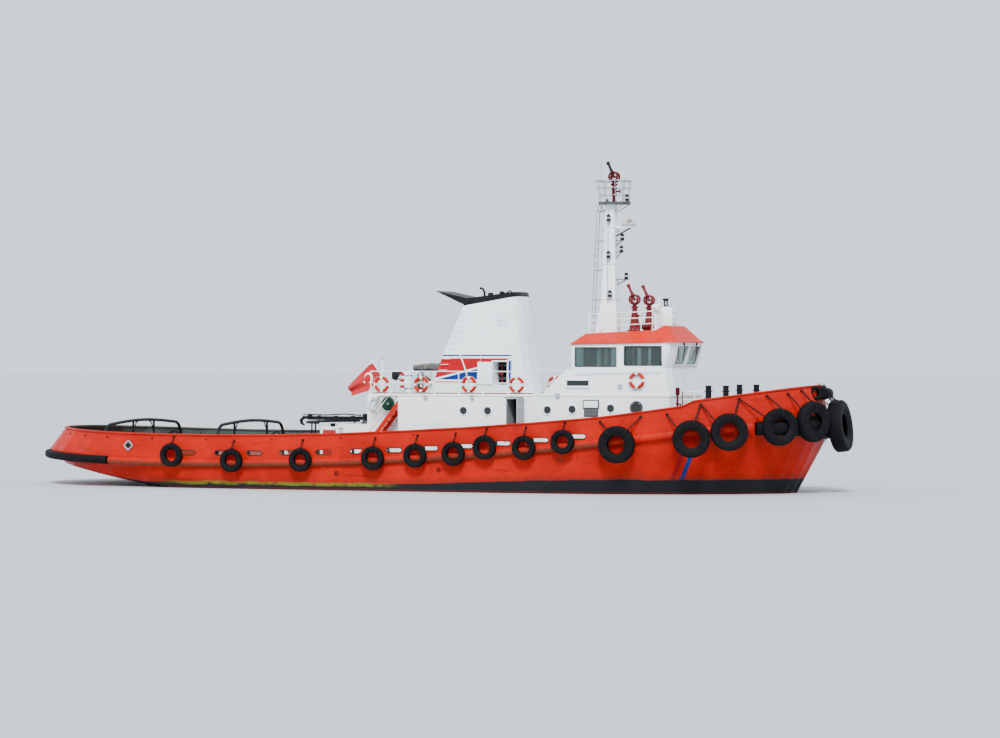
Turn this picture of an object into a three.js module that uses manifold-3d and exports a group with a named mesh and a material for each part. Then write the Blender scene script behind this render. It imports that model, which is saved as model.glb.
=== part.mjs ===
// A harbour tug, 37 m long with its fenders, afloat.
// Millimetres. +X is forward, +Y is port, +Z is up. The origin is amidships,
// on the centreline, at the waterline.
import * as THREE from "three";
import { mergeVertices } from "three/addons/utils/BufferGeometryUtils.js";
import Module from "manifold-3d";

const wasm = await Module();
wasm.setup();

// Clearances
const SEAT = 0.3;            // between a piece and what carries it

// Hull
const STERN_X = -18300;
const STEM_X = 17400;
const HALF_BEAM = 4600;
const AFT_SHOULDER_X = -10000;
const FORE_SHOULDER_X = 7000;
const SHEER_LOW_X = -9000;   // where the deck is lowest
const SHEER_LOW_Z = 1330;
const SHEER_RISE = 3.11e-6;  // deck height gained per mm squared from there
const DRAFT = 3600;
const CHINE_HALF_BEAM = 4450;
const BULWARK_THICK = 60;
const CAP_RAIL = { outside: 50, inside: 110, thick: 60 };
const STATIONS_X = [
  STERN_X, -18150, -17800, -17300, -16400, -15000, -13600, -11500, -9000, -6000, -3000,
  0, 3000, 6000, 9000, 11000, 12600, 13100, 14000, 15300, 16100, 16700, 17050, 17270, STEM_X,
];
const RAIL_END_X = { aft: -13600, fore: 15300 };
// Where the stern's bulwark meets the side ones, and the stations on each side of it.
const BULWARK_BUTT = { x: -11300, stations: [-13600, -9000] };
const RAIL_INSET = 60;       // how far a band is built into the hull before it is cut

// Superstructure
const HOUSE_HALF = 2400;
const HOUSE_AFT_X = -770;
const HOUSE_FRONT_X = 11500;
const BOAT_DECK = { aftX: -2100, top: 4100, thick: 90 };
const WHEELHOUSE = { aftX: 7100, wall: 80, sillZ: 5200, eaveZ: 6180, tilt: 0.02 };

// Colours
const ORANGE = 0xd8401f;
const WHITE = 0xe6eaec;
const BLACK = 0x17181a;
const DARK_RED = 0x7c1218;
const GREY = 0x8a9094;
const DECK_RED = 0x8c4030;

const tug = new THREE.Group();

function paint(color, roughness = 0.55, metalness = 0.1) {
  return new THREE.MeshStandardMaterial({ color, roughness, metalness });
}

function add(name, material, geometry) {
  const mesh = new THREE.Mesh(geometry, material);
  mesh.name = name;
  tug.add(mesh);
}

// Solids and booleans

function bare(geometry) {
  const copy = geometry.clone();
  copy.deleteAttribute("normal");
  copy.deleteAttribute("uv");
  return mergeVertices(copy, 0.01);
}

function dropSlivers(index) {
  const kept = [];
  for (let i = 0; i < index.length; i += 3) {
    const [a, b, c] = [index[i], index[i + 1], index[i + 2]];
    if (a !== b && b !== c && c !== a) kept.push(a, b, c);
  }
  return kept;
}

function solid(geometry) {
  const merged = bare(geometry);
  const mesh = new wasm.Mesh({
    numProp: 3,
    vertProperties: new Float32Array(merged.attributes.position.array),
    triVerts: new Uint32Array(dropSlivers(merged.index.array)),
  });
  return new wasm.Manifold(mesh);
}

function geometryFrom(manifold) {
  const mesh = manifold.getMesh();
  const geometry = new THREE.BufferGeometry();
  geometry.setAttribute("position", new THREE.BufferAttribute(new Float32Array(mesh.vertProperties), 3));
  geometry.setIndex(new THREE.BufferAttribute(new Uint32Array(mesh.triVerts), 1));
  return geometry;
}

function unite(...geometries) {
  return geometryFrom(geometries.map(solid).reduce((whole, next) => whole.add(next)));
}

function cut(geometry, ...tools) {
  return geometryFrom(tools.map(solid).reduce((rest, tool) => rest.subtract(tool), solid(geometry)));
}

// Basic shapes

function box(low, high) {
  const size = high.map((value, i) => value - low[i]);
  const middle = high.map((value, i) => (value + low[i]) / 2);
  return new THREE.BoxGeometry(...size).translate(...middle);
}

function outlineShape(points) {
  return new THREE.Shape(points.map(([x, y]) => new THREE.Vector2(x, y)));
}

function prismZ(points, low, high) {
  const settings = { depth: high - low, bevelEnabled: false };
  return new THREE.ExtrudeGeometry(outlineShape(points), settings).translate(0, 0, low);
}

// The outline is in X and Z.
function prismY(points, low, high) {
  const settings = { depth: high - low, bevelEnabled: false };
  return new THREE.ExtrudeGeometry(outlineShape(points), settings).rotateX(Math.PI / 2).translate(0, high, 0);
}

function post(x, y, low, high, radius, sides = 8, topRadius = radius) {
  const body = new THREE.CylinderGeometry(topRadius, radius, high - low, sides);
  return body.rotateX(Math.PI / 2).translate(x, y, (low + high) / 2);
}

function rod(from, to, radius, sides = 6) {
  const a = new THREE.Vector3(...from);
  const b = new THREE.Vector3(...to);
  const along = b.clone().sub(a);
  const turn = new THREE.Quaternion().setFromUnitVectors(new THREE.Vector3(0, 1, 0), along.clone().normalize());
  const middle = a.add(b).multiplyScalar(0.5);
  return new THREE.CylinderGeometry(radius, radius, along.length(), sides)
    .applyQuaternion(turn).translate(middle.x, middle.y, middle.z);
}

function pipe(points, radius, steps, sides = 8) {
  const path = new THREE.CatmullRomCurve3(points.map((p) => new THREE.Vector3(...p)), false, "centripetal");
  const circle = Array.from({ length: sides }, (_, i) => {
    const angle = (2 * Math.PI * i) / sides;
    return [radius * Math.cos(angle), radius * Math.sin(angle)];
  });
  return new THREE.ExtrudeGeometry(outlineShape(circle), { steps, extrudePath: path, bevelEnabled: false });
}

// A body through rings of equally many [x, y, z] points. Rings are convex where they are capped.
function loft(rings, capped = true) {
  const count = rings[0].length;
  const positions = rings.flat(2);
  const index = [];
  for (let r = 0; r + 1 < rings.length; r += 1) {
    for (let i = 0; i < count; i += 1) {
      const j = (i + 1) % count;
      const [a, b] = [r * count + i, r * count + j];
      index.push(a, b, b + count, a, b + count, a + count);
    }
  }
  const last = (rings.length - 1) * count;
  for (let i = 1; capped && i + 1 < count; i += 1) {
    index.push(0, i + 1, i);
    index.push(last, last + i, last + i + 1);
  }
  return closed(positions, index);
}

function closed(positions, index) {
  let volume = 0;
  const at = (i) => new THREE.Vector3(...positions.slice(3 * i, 3 * i + 3));
  for (let i = 0; i < index.length; i += 3) {
    volume += at(index[i]).dot(at(index[i + 1]).cross(at(index[i + 2])));
  }
  const facing = volume < 0 ? index.slice().reverse() : index;
  const geometry = new THREE.BufferGeometry();
  geometry.setAttribute("position", new THREE.Float32BufferAttribute(positions, 3));
  geometry.setIndex(facing);
  const merged = mergeVertices(geometry, 0.01);
  merged.setIndex(dropSlivers(merged.index.array));
  return merged;
}

// A ring revolved about Y, from a closed profile of [radius, y] points.
function hoop(profile, segments) {
  const points = [...profile, profile[0]].map(([r, y]) => new THREE.Vector2(r, y));
  return new THREE.LatheGeometry(points, segments);
}

function turned(profile, segments) {
  return new THREE.LatheGeometry(profile.map(([r, y]) => new THREE.Vector2(r, y)), segments);
}

function tyre(outer, inner, width, segments) {
  const half = width / 2;
  const shoulder = 0.88 * outer;
  return hoop([[inner, -0.7 * half], [shoulder, -half], [outer, -0.5 * half],
    [outer, 0.5 * half], [shoulder, half], [inner, 0.7 * half]], segments);
}

function plainTyre(outer, inner, width, segments) {
  const half = width / 2;
  return hoop([[inner, -0.6 * half], [0.9 * outer, -half], [outer, 0], [0.9 * outer, half], [inner, 0.6 * half]], segments);
}

// Interpolates in a table of [x, value] rows.
function tableAt(table, x) {
  const after = table.findIndex(([at]) => at > x);
  if (after === 0) return table[0][1];
  if (after < 0) return table[table.length - 1][1];
  const [[x0, v0], [x1, v1]] = [table[after - 1], table[after]];
  return v0 + ((v1 - v0) * (x - x0)) / (x1 - x0);
}

// The hull's lines

function sheer(x) {
  return SHEER_LOW_Z + SHEER_RISE * (x - SHEER_LOW_X) ** 2;
}

const DECK_LINE = STATIONS_X.map((x) => [x, sheer(x)]);

function deckZ(x) {
  return tableAt(DECK_LINE, x);
}

// Height tables: x along the hull, height over the waterline.
const KEEL_LINE = [[STERN_X, 1000], [-10000, -450], [-4000, -DRAFT], [10500, -DRAFT],
  [12500, -3300], [14000, -2600], [15200, -1600]];
const CHINE_LINE = [[STERN_X, 1100], [-16500, 1000], [-12000, 700], [-6500, 0], [0, -600], [5000, -900]];
const RAIL_LOW_DROP = [[14000, 400], [15300, 700], [16700, 950], [STEM_X, 1230]];
const RAIL_HIGH_DROP = [[14000, 50], [15300, 150], [STEM_X, 200]];
// Bulwark height over the deck, with the step up at the foredeck.
const BULWARK_HEIGHT = [[STERN_X, 930], [-9000, 960], [0, 950], [5000, 900], [9000, 820], [12600, 850],
  [13100, 1010], [STEM_X, 960]];

// Levels of the hull's side: ends, half breadth, shoulders, powers of the rounding at each end.
const DECK_LEVEL = { aft: STERN_X, fore: STEM_X, half: HALF_BEAM, aftFrom: AFT_SHOULDER_X,
  foreFrom: FORE_SHOULDER_X, power: 3, root: 2 };
const RAIL_HIGH = { ...DECK_LEVEL, aft: -18290 };
const RAIL_LOW = { ...DECK_LEVEL, aft: -18250, fore: 17390 };
const RAIL_MIDDLE = { ...DECK_LEVEL, aft: -18270 };
const CHINE = { aft: -18050, fore: 15700, half: CHINE_HALF_BEAM, aftFrom: -11000, foreFrom: 2000,
  power: 2.2, root: 1.4 };
const BULWARK_TOP = { ...DECK_LEVEL, aft: -17480, fore: 17150 };
const KEEL_ENDS = { aft: -18000, fore: 15200 };

function share(stationX) {
  return (stationX - STERN_X) / (STEM_X - STERN_X);
}

function levelX(level, s) {
  return level.aft + (level.fore - level.aft) * s;
}

function halfBreadth(level, s) {
  if (s <= 0 || s >= 1) return 0;
  const x = levelX(level, s);
  let run = 0;
  if (x < level.aftFrom) run = (level.aftFrom - x) / (level.aftFrom - level.aft);
  if (x > level.foreFrom) run = (x - level.foreFrom) / (level.fore - level.foreFrom);
  return level.half * (1 - run ** level.power) ** (1 / level.root);
}

function levelPoint(level, s, z) {
  return [levelX(level, s), halfBreadth(level, s), z];
}

// The side's points at one station, from the deck down to the keel, on the port side.
function stationPoints(s) {
  const deckX = levelX(DECK_LEVEL, s);
  const deck = levelPoint(DECK_LEVEL, s, sheer(deckX));
  const high = levelPoint(RAIL_HIGH, s, sheer(deckX) - tableAt(RAIL_HIGH_DROP, deckX));
  const low = levelPoint(RAIL_LOW, s, sheer(deckX) - tableAt(RAIL_LOW_DROP, deckX));
  const chineX = levelX(CHINE, s);
  const chine = levelPoint(CHINE, s, tableAt(CHINE_LINE, chineX));
  const keelX = levelX(KEEL_ENDS, s);
  const keel = [keelX, 0, tableAt(KEEL_LINE, keelX)];
  // Rows of the bottom between chine and keel: share of the height, share of the breadth.
  const bottom = [[0.45, 0.94], [0.18, 0.74], [0.05, 0.36]].map(([up, out]) => [
    keel[0] + (chine[0] - keel[0]) * up,
    chine[1] * out,
    keel[2] + (chine[2] - keel[2]) * up,
  ]);
  return [deck, high, low, chine, ...bottom, keel];
}

const SHARES = STATIONS_X.map(share);
const SIDE = SHARES.map(stationPoints);
const DECK_ROW = 0;
const RAIL_HIGH_ROW = 1;
const RAIL_LOW_ROW = 2;

function mirrored([x, y, z]) {
  return [x, -y, z];
}

// The outward direction in plan at a station, from the deck line's neighbours.
function outward(station) {
  if (station === 0) return [-1, 0];
  if (station === STATIONS_X.length - 1) return [1, 0];
  const before = SIDE[station - 1][DECK_ROW];
  const after = SIDE[station + 1][DECK_ROW];
  const here = SIDE[station][DECK_ROW];
  const first = new THREE.Vector2(here[1] - before[1], before[0] - here[0]).normalize();
  const second = new THREE.Vector2(after[1] - here[1], here[0] - after[0]).normalize();
  const middle = first.add(second).normalize().negate();
  return [middle.x, middle.y];
}

function shifted([x, y, z], station, distance, rise = 0) {
  const [nx, ny] = outward(station);
  return [x + nx * distance, y + ny * distance, z + rise];
}

function stationOf(x) {
  return STATIONS_X.indexOf(x);
}

// A section of a band along the hull's rail rows. Its back lies inside the plating, until it is cut.
function railRing(station, depth, side) {
  const high = SIDE[station][RAIL_HIGH_ROW];
  const low = SIDE[station][RAIL_LOW_ROW];
  const rise = (high[2] - low[2]) / 4;
  const ring = [
    shifted(low, station, -RAIL_INSET),
    shifted(low, station, 0.7 * depth, 0.3 * rise),
    shifted(low, station, depth, rise),
    shifted(high, station, depth, -rise),
    shifted(high, station, 0.7 * depth, -0.3 * rise),
    shifted(high, station, -RAIL_INSET),
  ];
  return side > 0 ? ring : ring.map(mirrored);
}

function numbersBetween(first, last) {
  return Array.from({ length: last - first + 1 }, (_, i) => first + i);
}

// Hull

const SHAFT = { y: 2100, z: -2000, hullX: -5500, endX: -10600, radius: 170 };
const RUDDER = { x: -12700, trunkLow: -350, trunkRadius: 210 };

function hullShell() {
  const rings = SIDE.map((points) => {
    const starboard = points.slice(0, -1).reverse().map(mirrored);
    return [...points, ...starboard];
  });
  return loft(rings, false);
}

function skeg() {
  const outline = [[-3000, -3590], [-10200, -3500], [-10200, -300], [-6000, -1500], [-3000, -3000]];
  return prismY(outline, -150, 150);
}

function shaftLine(side) {
  const y = side * SHAFT.y;
  const tube = rod([SHAFT.hullX, y, SHAFT.z], [SHAFT.endX, y, SHAFT.z], SHAFT.radius, 10);
  const strutX = SHAFT.endX + 450;
  const strut = box([strutX - 200, y - 40, SHAFT.z], [strutX + 200, y + 40, 100]);
  const trunk = post(RUDDER.x, y, RUDDER.trunkLow, 500, RUDDER.trunkRadius, 10);
  return [tube, strut, trunk];
}

const hull = unite(hullShell(), skeg(), ...shaftLine(1), ...shaftLine(-1));
add("hull", paint(ORANGE), hull);

// What lies against the plating is cut by the hull, grown by the seat.
const plating = hull.clone().scale(1 + SEAT / STEM_X, 1 + SEAT / HALF_BEAM, 1);

// Bulwarks with their cap rails, freeing ports and stern fairleads

const FREEING_PORTS = {
  xs: [-9660, -8030, -6520, -4960, -3300, -1710, -60, 1570, 3140, 4810, 6490, 8120],
  long: 760, high: 190, aboveDeck: [[-10000, 220], [-4500, 210], [0, 165], [8500, 150]],
};
const FAIRLEAD = { x: -12570, z: 1810, long: 400, high: 330 };

function bulwarkTopPoint(station) {
  const s = SHARES[station];
  const deckX = levelX(DECK_LEVEL, s);
  return levelPoint(BULWARK_TOP, s, sheer(deckX) + tableAt(BULWARK_HEIGHT, deckX));
}

function onDeck([x, y]) {
  return [x, y, deckZ(x) + SEAT];
}

// The two sides' bulwarks stand just clear of each other at the stem.
function stemGap([x, y, z]) {
  return [x, x > 0 ? Math.max(y, SEAT) : y, z];
}

function bulwarkRing(station, side) {
  const foot = SIDE[station][DECK_ROW];
  const top = bulwarkTopPoint(station);
  const ring = [onDeck(foot), top, shifted(top, station, -BULWARK_THICK),
    onDeck(shifted(foot, station, -BULWARK_THICK))].map(stemGap);
  return side > 0 ? ring : ring.map(mirrored);
}

function capRailRing(station, side) {
  const top = bulwarkTopPoint(station);
  const low = -10;
  const high = low + CAP_RAIL.thick;
  const ring = [
    shifted(top, station, CAP_RAIL.outside, low), shifted(top, station, CAP_RAIL.outside, high),
    shifted(top, station, -CAP_RAIL.inside, high), shifted(top, station, -CAP_RAIL.inside, low),
  ].map(stemGap);
  return side > 0 ? ring : ring.map(mirrored);
}

// A slot with pointed ends, seen from the side.
function slotOutline(x, z, long, high) {
  const [a, b] = [long / 2, high / 2];
  return [[x - a, z], [x - a + b, z - b], [x + a - b, z - b], [x + a, z], [x + a - b, z + b], [x - a + b, z + b]];
}

function bulwarkSlots(side) {
  const [low, high] = side > 0 ? [3900, 5000] : [-5000, -3900];
  const ports = FREEING_PORTS.xs.map((x) => {
    const z = sheer(x) + tableAt(FREEING_PORTS.aboveDeck, x);
    return prismY(slotOutline(x, z, FREEING_PORTS.long, FREEING_PORTS.high), low, high);
  });
  const fairlead = prismY(slotOutline(FAIRLEAD.x, FAIRLEAD.z, FAIRLEAD.long, FAIRLEAD.high), low, high);
  return [...ports, fairlead];
}

// All that lies between two distances along the hull.
function slab(aft, fore) {
  return box([aft, -5500, 0], [fore, 5500, 6000]);
}

function sideBulwark(side) {
  const stations = numbersBetween(stationOf(BULWARK_BUTT.stations[0]), STATIONS_X.length - 1);
  const parts = [bulwarkRing, capRailRing].map((section) => loft(stations.map((i) => section(i, side))));
  return cut(unite(...parts), ...bulwarkSlots(side), slab(-20000, BULWARK_BUTT.x + SEAT));
}

// The stern's bulwark runs round from one quarter to the other.
function sternBulwark() {
  const stations = numbersBetween(0, stationOf(BULWARK_BUTT.stations[1])).reverse();
  const parts = [bulwarkRing, capRailRing].map((section) => loft(wrapRings(stations, section)));
  return cut(unite(...parts), ...bulwarkSlots(1), ...bulwarkSlots(-1), slab(BULWARK_BUTT.x, 0));
}

const SIDES = [["port", 1], ["starboard", -1]];
for (const [name, side] of SIDES) add(`bulwark_${name}`, paint(ORANGE), sideBulwark(side));
add("bulwark_stern", paint(ORANGE), sternBulwark());

// Fenders: a band round the stern, a band round the bow, and a rub rail with its tyres on each side

// Sections from the port side round one end of the hull to the starboard side.
function wrapRings(stations, section) {
  const port = stations.map((i) => section(i, 1));
  const starboard = stations.slice(0, -1).reverse().map((i) => section(i, -1));
  return [...port, ...starboard];
}

function fenderBand(stations, depth) {
  return loft(wrapRings(stations, (i, side) => railRing(i, depth, side)));
}

const sternStations = numbersBetween(0, stationOf(RAIL_END_X.aft)).reverse();
const bowStations = numbersBetween(stationOf(RAIL_END_X.fore), STATIONS_X.length - 1);
const SMALL_TYRE = { shape: plainTyre, outer: 510, inner: 270, width: 290, segments: 10 };
const LARGE_TYRE = { shape: tyre, outer: 770, inner: 380, width: 420, segments: 12 };
const BOW_TYRE = { shape: tyre, outer: 840, inner: 370, width: 440, segments: 12 };
// Tyres that hang on the sides, from the stern: x, height of the centre, size.
const SIDE_TYRES = [
  [-10320, 1440, SMALL_TYRE], [-7470, 1230, SMALL_TYRE], [-4240, 1290, SMALL_TYRE],
  [-910, 1400, SMALL_TYRE], [1010, 1530, SMALL_TYRE], [2730, 1630, SMALL_TYRE],
  [4120, 1910, SMALL_TYRE], [5860, 1910, SMALL_TYRE], [7560, 2170, SMALL_TYRE],
  [9890, 2080, LARGE_TYRE], [12900, 2330, LARGE_TYRE], [14320, 2610, LARGE_TYRE],
];
const BOW_TYRES = [[16000, 2810, LARGE_TYRE], [16960, 3010, BOW_TYRE]];
const RAIL_DEPTH = 190;
const BAND_DEPTH = { stern: 260, bow: 490 };
const TYRE_BITE = { side: 40, bow: 210 };   // how far a tyre is pressed onto its band
const BAND_GAP = 60;           // between the rub rail's ends and the fenders

// Where the middle of the rail is at x, with the plan angle of its outward direction.
function railEdge(x) {
  const long = RAIL_MIDDLE.fore - RAIL_MIDDLE.aft;
  const s = (x - RAIL_MIDDLE.aft) / long;
  const step = 0.002;
  const y = halfBreadth(RAIL_MIDDLE, s);
  const rise = halfBreadth(RAIL_MIDDLE, s + step) - halfBreadth(RAIL_MIDDLE, s - step);
  return { y, angle: Math.atan2(1, -rise / (2 * step * long)) };
}

function hungTyre([x, z, size], side, standOff) {
  const { y, angle } = railEdge(x);
  const reach = standOff + size.width / 2;
  const wheel = size.shape(size.outer, size.inner, size.width, size.segments).rotateZ(angle - Math.PI / 2);
  const placed = wheel.translate(x + reach * Math.cos(angle), y + reach * Math.sin(angle), z);
  return side > 0 ? placed : placed.applyMatrix4(new THREE.Matrix4().makeScale(1, -1, 1));
}

function flipped(geometry) {
  const merged = bare(geometry);
  merged.setIndex(Array.from(merged.index.array).reverse());
  return merged;
}

function tyresOn(rows, side, standOff) {
  return rows.map((row) => {
    const wheel = hungTyre(row, side, standOff);
    return side > 0 ? wheel : flipped(wheel);
  });
}

function movedAlong(ring, step) {
  return ring.map(([x, y, z]) => [x + step, y, z]);
}

const rubber = () => paint(BLACK, 0.9, 0);
const bowFender = cut(unite(
  fenderBand(bowStations, BAND_DEPTH.bow),
  ...tyresOn(BOW_TYRES, 1, BAND_DEPTH.bow - TYRE_BITE.bow),
  ...tyresOn(BOW_TYRES, -1, BAND_DEPTH.bow - TYRE_BITE.bow),
), plating);
add("stern_fender", rubber(), cut(fenderBand(sternStations, BAND_DEPTH.stern), plating));
add("bow_fender", rubber(), bowFender);
for (const [name, side] of SIDES) {
  const stations = numbersBetween(stationOf(RAIL_END_X.aft), stationOf(RAIL_END_X.fore));
  const rings = stations.map((i) => railRing(i, RAIL_DEPTH, side));
  rings[0] = movedAlong(rings[0], BAND_GAP);
  rings[rings.length - 1] = movedAlong(rings[rings.length - 1], -BAND_GAP);
  const tyres = tyresOn(SIDE_TYRES, side, RAIL_DEPTH - TYRE_BITE.side);
  add(`rub_rail_${name}`, rubber(), cut(unite(loft(rings), ...tyres), plating));
}

// The tyre at the stem leans aft at its top and is pressed onto the bow fender.
const STEM_TYRE = { outer: 1080, inner: 480, width: 600, segments: 16, x: 18060, z: 2800, lean: 0.13 };

function stemTyre() {
  const pressed = bowFender.clone().translate(0, 0, -STEM_TYRE.z)
    .scale(1 + SEAT / STEM_X, 1 + SEAT / STEM_TYRE.outer, 1 + SEAT / STEM_TYRE.inner).translate(0, 0, STEM_TYRE.z);
  const wheel = tyre(STEM_TYRE.outer, STEM_TYRE.inner, STEM_TYRE.width, STEM_TYRE.segments)
    .rotateZ(Math.PI / 2).rotateY(-STEM_TYRE.lean).translate(STEM_TYRE.x, 0, STEM_TYRE.z);
  return cut(wheel, pressed);
}
add("stem_tyre", rubber(), stemTyre());

// Propulsion: two propellers in fixed nozzles, with a rudder behind each

const PROPELLER = { x: -11150, radius: 1120, hubRadius: 190, blades: 4 };
const NOZZLE = { inner: 1165, outer: 1370, foreX: -10650, aftX: -11800 };

function alongX(geometry) {
  return geometry.rotateZ(-Math.PI / 2);
}

function bladeRing(radius, chord, thick, pitchDegrees) {
  const turn = (pitchDegrees * Math.PI) / 180;
  const section = [[-0.5, 0], [-0.2, 0.5], [0.3, 0.4], [0.5, 0], [0.3, -0.4], [-0.2, -0.5]];
  return section.map(([u, v]) => {
    const [along, across] = [u * chord, v * thick];
    return [along * Math.sin(turn) + across * Math.cos(turn),
      along * Math.cos(turn) - across * Math.sin(turn), radius];
  });
}

function propeller() {
  const hub = alongX(turned([[0, -480], [120, -430], [PROPELLER.hubRadius, -260],
    [PROPELLER.hubRadius, 549.7], [0, 549.7]], 12));
  // Blade sections: radius, chord, thickness, pitch angle.
  const rows = [[120, 420, 110, 58], [500, 720, 70, 40], [900, 800, 45, 27], [PROPELLER.radius, 420, 25, 22]];
  const blade = loft(rows.map((row) => bladeRing(...row)));
  const blades = numbersBetween(0, PROPELLER.blades - 1).map((i) =>
    blade.clone().rotateX((2 * Math.PI * i) / PROPELLER.blades + Math.PI / 4));
  return unite(hub, ...blades);
}

function nozzle(y) {
  const long = NOZZLE.foreX - NOZZLE.aftX;
  const profile = [[NOZZLE.inner + 90, 0], [NOZZLE.outer, 0], [NOZZLE.outer, 0.25 * long],
    [NOZZLE.inner + 60, long], [NOZZLE.inner, long], [NOZZLE.inner, 0.35 * long]];
  const ring = hoop(profile, 20).rotateZ(Math.PI / 2).translate(NOZZLE.foreX, y, SHAFT.z);
  const head = box([NOZZLE.aftX + 150, y - 160, SHAFT.z + NOZZLE.inner + 60], [NOZZLE.foreX - 100, y + 160, 600]);
  const hullBelow = hull.clone().translate(0, 0, -SEAT);
  return cut(unite(ring, head), hullBelow);
}

function rudder(y) {
  const section = (z, chord) => [[0.3, 0], [0.15, 0.07], [-0.3, 0.06], [-0.7, 0.01],
    [-0.7, -0.01], [-0.3, -0.06], [0.15, -0.07]].map(([u, v]) => [RUDDER.x + u * chord, y + v * chord, z]);
  const blade = loft([section(-3250, 1300), section(-800, 1450)]);
  const stock = post(RUDDER.x, y, -2000, RUDDER.trunkLow - SEAT, 90, 10);
  return unite(blade, stock);
}

for (const [name, side] of SIDES) {
  const y = side * SHAFT.y;
  add(`propeller_${name}`, paint(0xa8783a, 0.35, 0.9), propeller().translate(PROPELLER.x, y, SHAFT.z));
  add(`nozzle_${name}`, paint(DARK_RED), nozzle(y));
  add(`rudder_${name}`, paint(DARK_RED), rudder(y));
}

// What stands on the deck has a foot that follows the deck

function deckPad(x0, x1, y0, y1, top) {
  const between = STATIONS_X.filter((x) => x > x0 && x < x1);
  const under = [x0, ...between, x1].map((x) => [x, deckZ(x) + SEAT]);
  return prismY([...under, [x1, top], [x0, top]], y0, y1);
}

function footUnder(x, y, half, thick) {
  return deckPad(x - half, x + half, y - half, y + half, deckZ(x) + thick);
}

// Tow arches across the aft deck: x, half span, height at the sides, height in the middle, place of the posts

const TOW_ARCHES = [["aft", -14100, 3780, 2700, 2850, 1020], ["fore", -8800, 3480, 2720, 2850, 1720]];
const ARCH_RADIUS = 70;

function towArch(x, half, sideZ, midZ, postY) {
  const low = deckZ(x) + 30;
  const tube = pipe([[x, -half, low], [x, -half, sideZ - 350], [x, 0.2 * ARCH_RADIUS - half + 60, sideZ - 100],
    [x, -half + 350, sideZ], [x, 0, midZ], [x, half - 350, sideZ],
    [x, half - 60 - 0.2 * ARCH_RADIUS, sideZ - 100], [x, half, sideZ - 350], [x, half, low]], ARCH_RADIUS, 20, 6);
  const posts = [-postY, postY].map((y) => post(x, y, low, midZ - 70, 50, 6));
  const braceLow = deckZ(x - 700) + 40;
  const braces = [-1, 1].map((end) => rod([x - 700, end * half, braceLow], [x, end * half, sideZ - 450], 40, 5));
  const feet = [[x, -half], [x, half], [x, -postY], [x, postY], [x - 700, -half], [x - 700, half]]
    .map(([fx, fy]) => footUnder(fx, fy, 130, 50));
  return unite(tube, ...posts, ...braces, ...feet);
}

for (const [name, ...sizes] of TOW_ARCHES) add(`tow_arch_${name}`, paint(BLACK), towArch(...sizes));

// Tow gear: pedestal, curved guide rail and swinging arm with its hook

const TOW = { x: -3200, pinTop: 2880, armLow: 2900, armHigh: 3060, railRadius: 2650, railZ: 2820, railTube: 55 };
const BACK_BLOCK = { aft: -2630, half: 1350 };
const CASING_GAP = 5;

function onArc(degrees, z) {
  const angle = Math.PI + (degrees * Math.PI) / 180;
  return [TOW.x + TOW.railRadius * Math.cos(angle), TOW.railRadius * Math.sin(angle), z];
}

const GUIDE_LEGS = [-55, 0, 55];

function guideRail() {
  const curve = pipe([-60, -40, -20, 0, 20, 40, 60].map((a) => onArc(a, TOW.railZ)), TOW.railTube, 14, 6);
  const legs = GUIDE_LEGS.map((a) => {
    const [x, y] = onArc(a, 0);
    return post(x, y, deckZ(x) + 30, TOW.railZ, 35, 6);
  });
  const feet = GUIDE_LEGS.map((a) => {
    const [x, y] = onArc(a, 0);
    return footUnder(x, y, 120, 50);
  });
  return unite(curve, ...legs, ...feet);
}

// A low casing stands against the house, and the arm's pin rises from it.
const CASING = { aft: -4200, half: 800, top: 2740 };

function towPedestal() {
  const casing = deckPad(CASING.aft, BACK_BLOCK.aft - CASING_GAP, -CASING.half, CASING.half, CASING.top);
  return unite(casing, post(TOW.x, 0, CASING.top - 40, TOW.pinTop, 330, 12, 200));
}

function towArm() {
  const hub = post(TOW.x, 0, TOW.pinTop + SEAT, TOW.armHigh + 40, 190, 12);
  const beam = prismZ([[TOW.x, -110], [TOW.x, 110], [-5900, 70], [-5900, -70]], TOW.armLow, TOW.armHigh);
  const hook = prismY([[-5850, 3060], [-6250, 3060], [-6420, 2900], [-6380, 2720], [-6230, 2640],
    [-6200, 2700], [-6290, 2760], [-6300, 2880], [-6180, 2940], [-5850, 2910]], -60, 60);
  return unite(hub, beam, hook);
}

add("tow_guide_rail", paint(BLACK), guideRail());
add("tow_pedestal", paint(WHITE), towPedestal());
add("tow_arm", paint(BLACK), towArm());

// Deck fittings

const HATCH = { aft: -12100, fore: -10900, half: 600, top: 1720, wall: 40, lidThick: 60 };
const hatchWell = box([HATCH.aft + HATCH.wall, -HATCH.half + HATCH.wall, 1500],
  [HATCH.fore - HATCH.wall, HATCH.half - HATCH.wall, HATCH.top + 1]);
add("hatch_coaming", paint(DECK_RED),
  cut(deckPad(HATCH.aft, HATCH.fore, -HATCH.half, HATCH.half, HATCH.top), hatchWell));
add("hatch_lid", paint(DECK_RED), box(
  [HATCH.aft - 30, -HATCH.half - 30, HATCH.top + SEAT],
  [HATCH.fore + 30, HATCH.half + 30, HATCH.top + HATCH.lidThick],
));
add("hose_box", paint(0xb01a1e), deckPad(-4010, -3160, -3300, -2800, 2640));

const BITT = { firstX: 13050, pitch: 750, y: 2300, top: 4470, radius: 125, barZ: 3900 };
for (const [name, side] of SIDES) {
  const y = side * BITT.y;
  const xs = [BITT.firstX, BITT.firstX + BITT.pitch];
  const base = deckPad(xs[0] - 250, xs[1] + 250, y - 250, y + 250, deckZ(xs[1] + 250) + 30);
  const posts = xs.map((x) => post(x, y, deckZ(x) + 60, BITT.top, BITT.radius, 12));
  const bar = rod([xs[0] - 200, y, BITT.barZ], [xs[1] + 200, y, BITT.barZ], 60, 8);
  add(`bitts_${name}`, paint(BLACK), unite(base, ...posts, bar));
}

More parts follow.
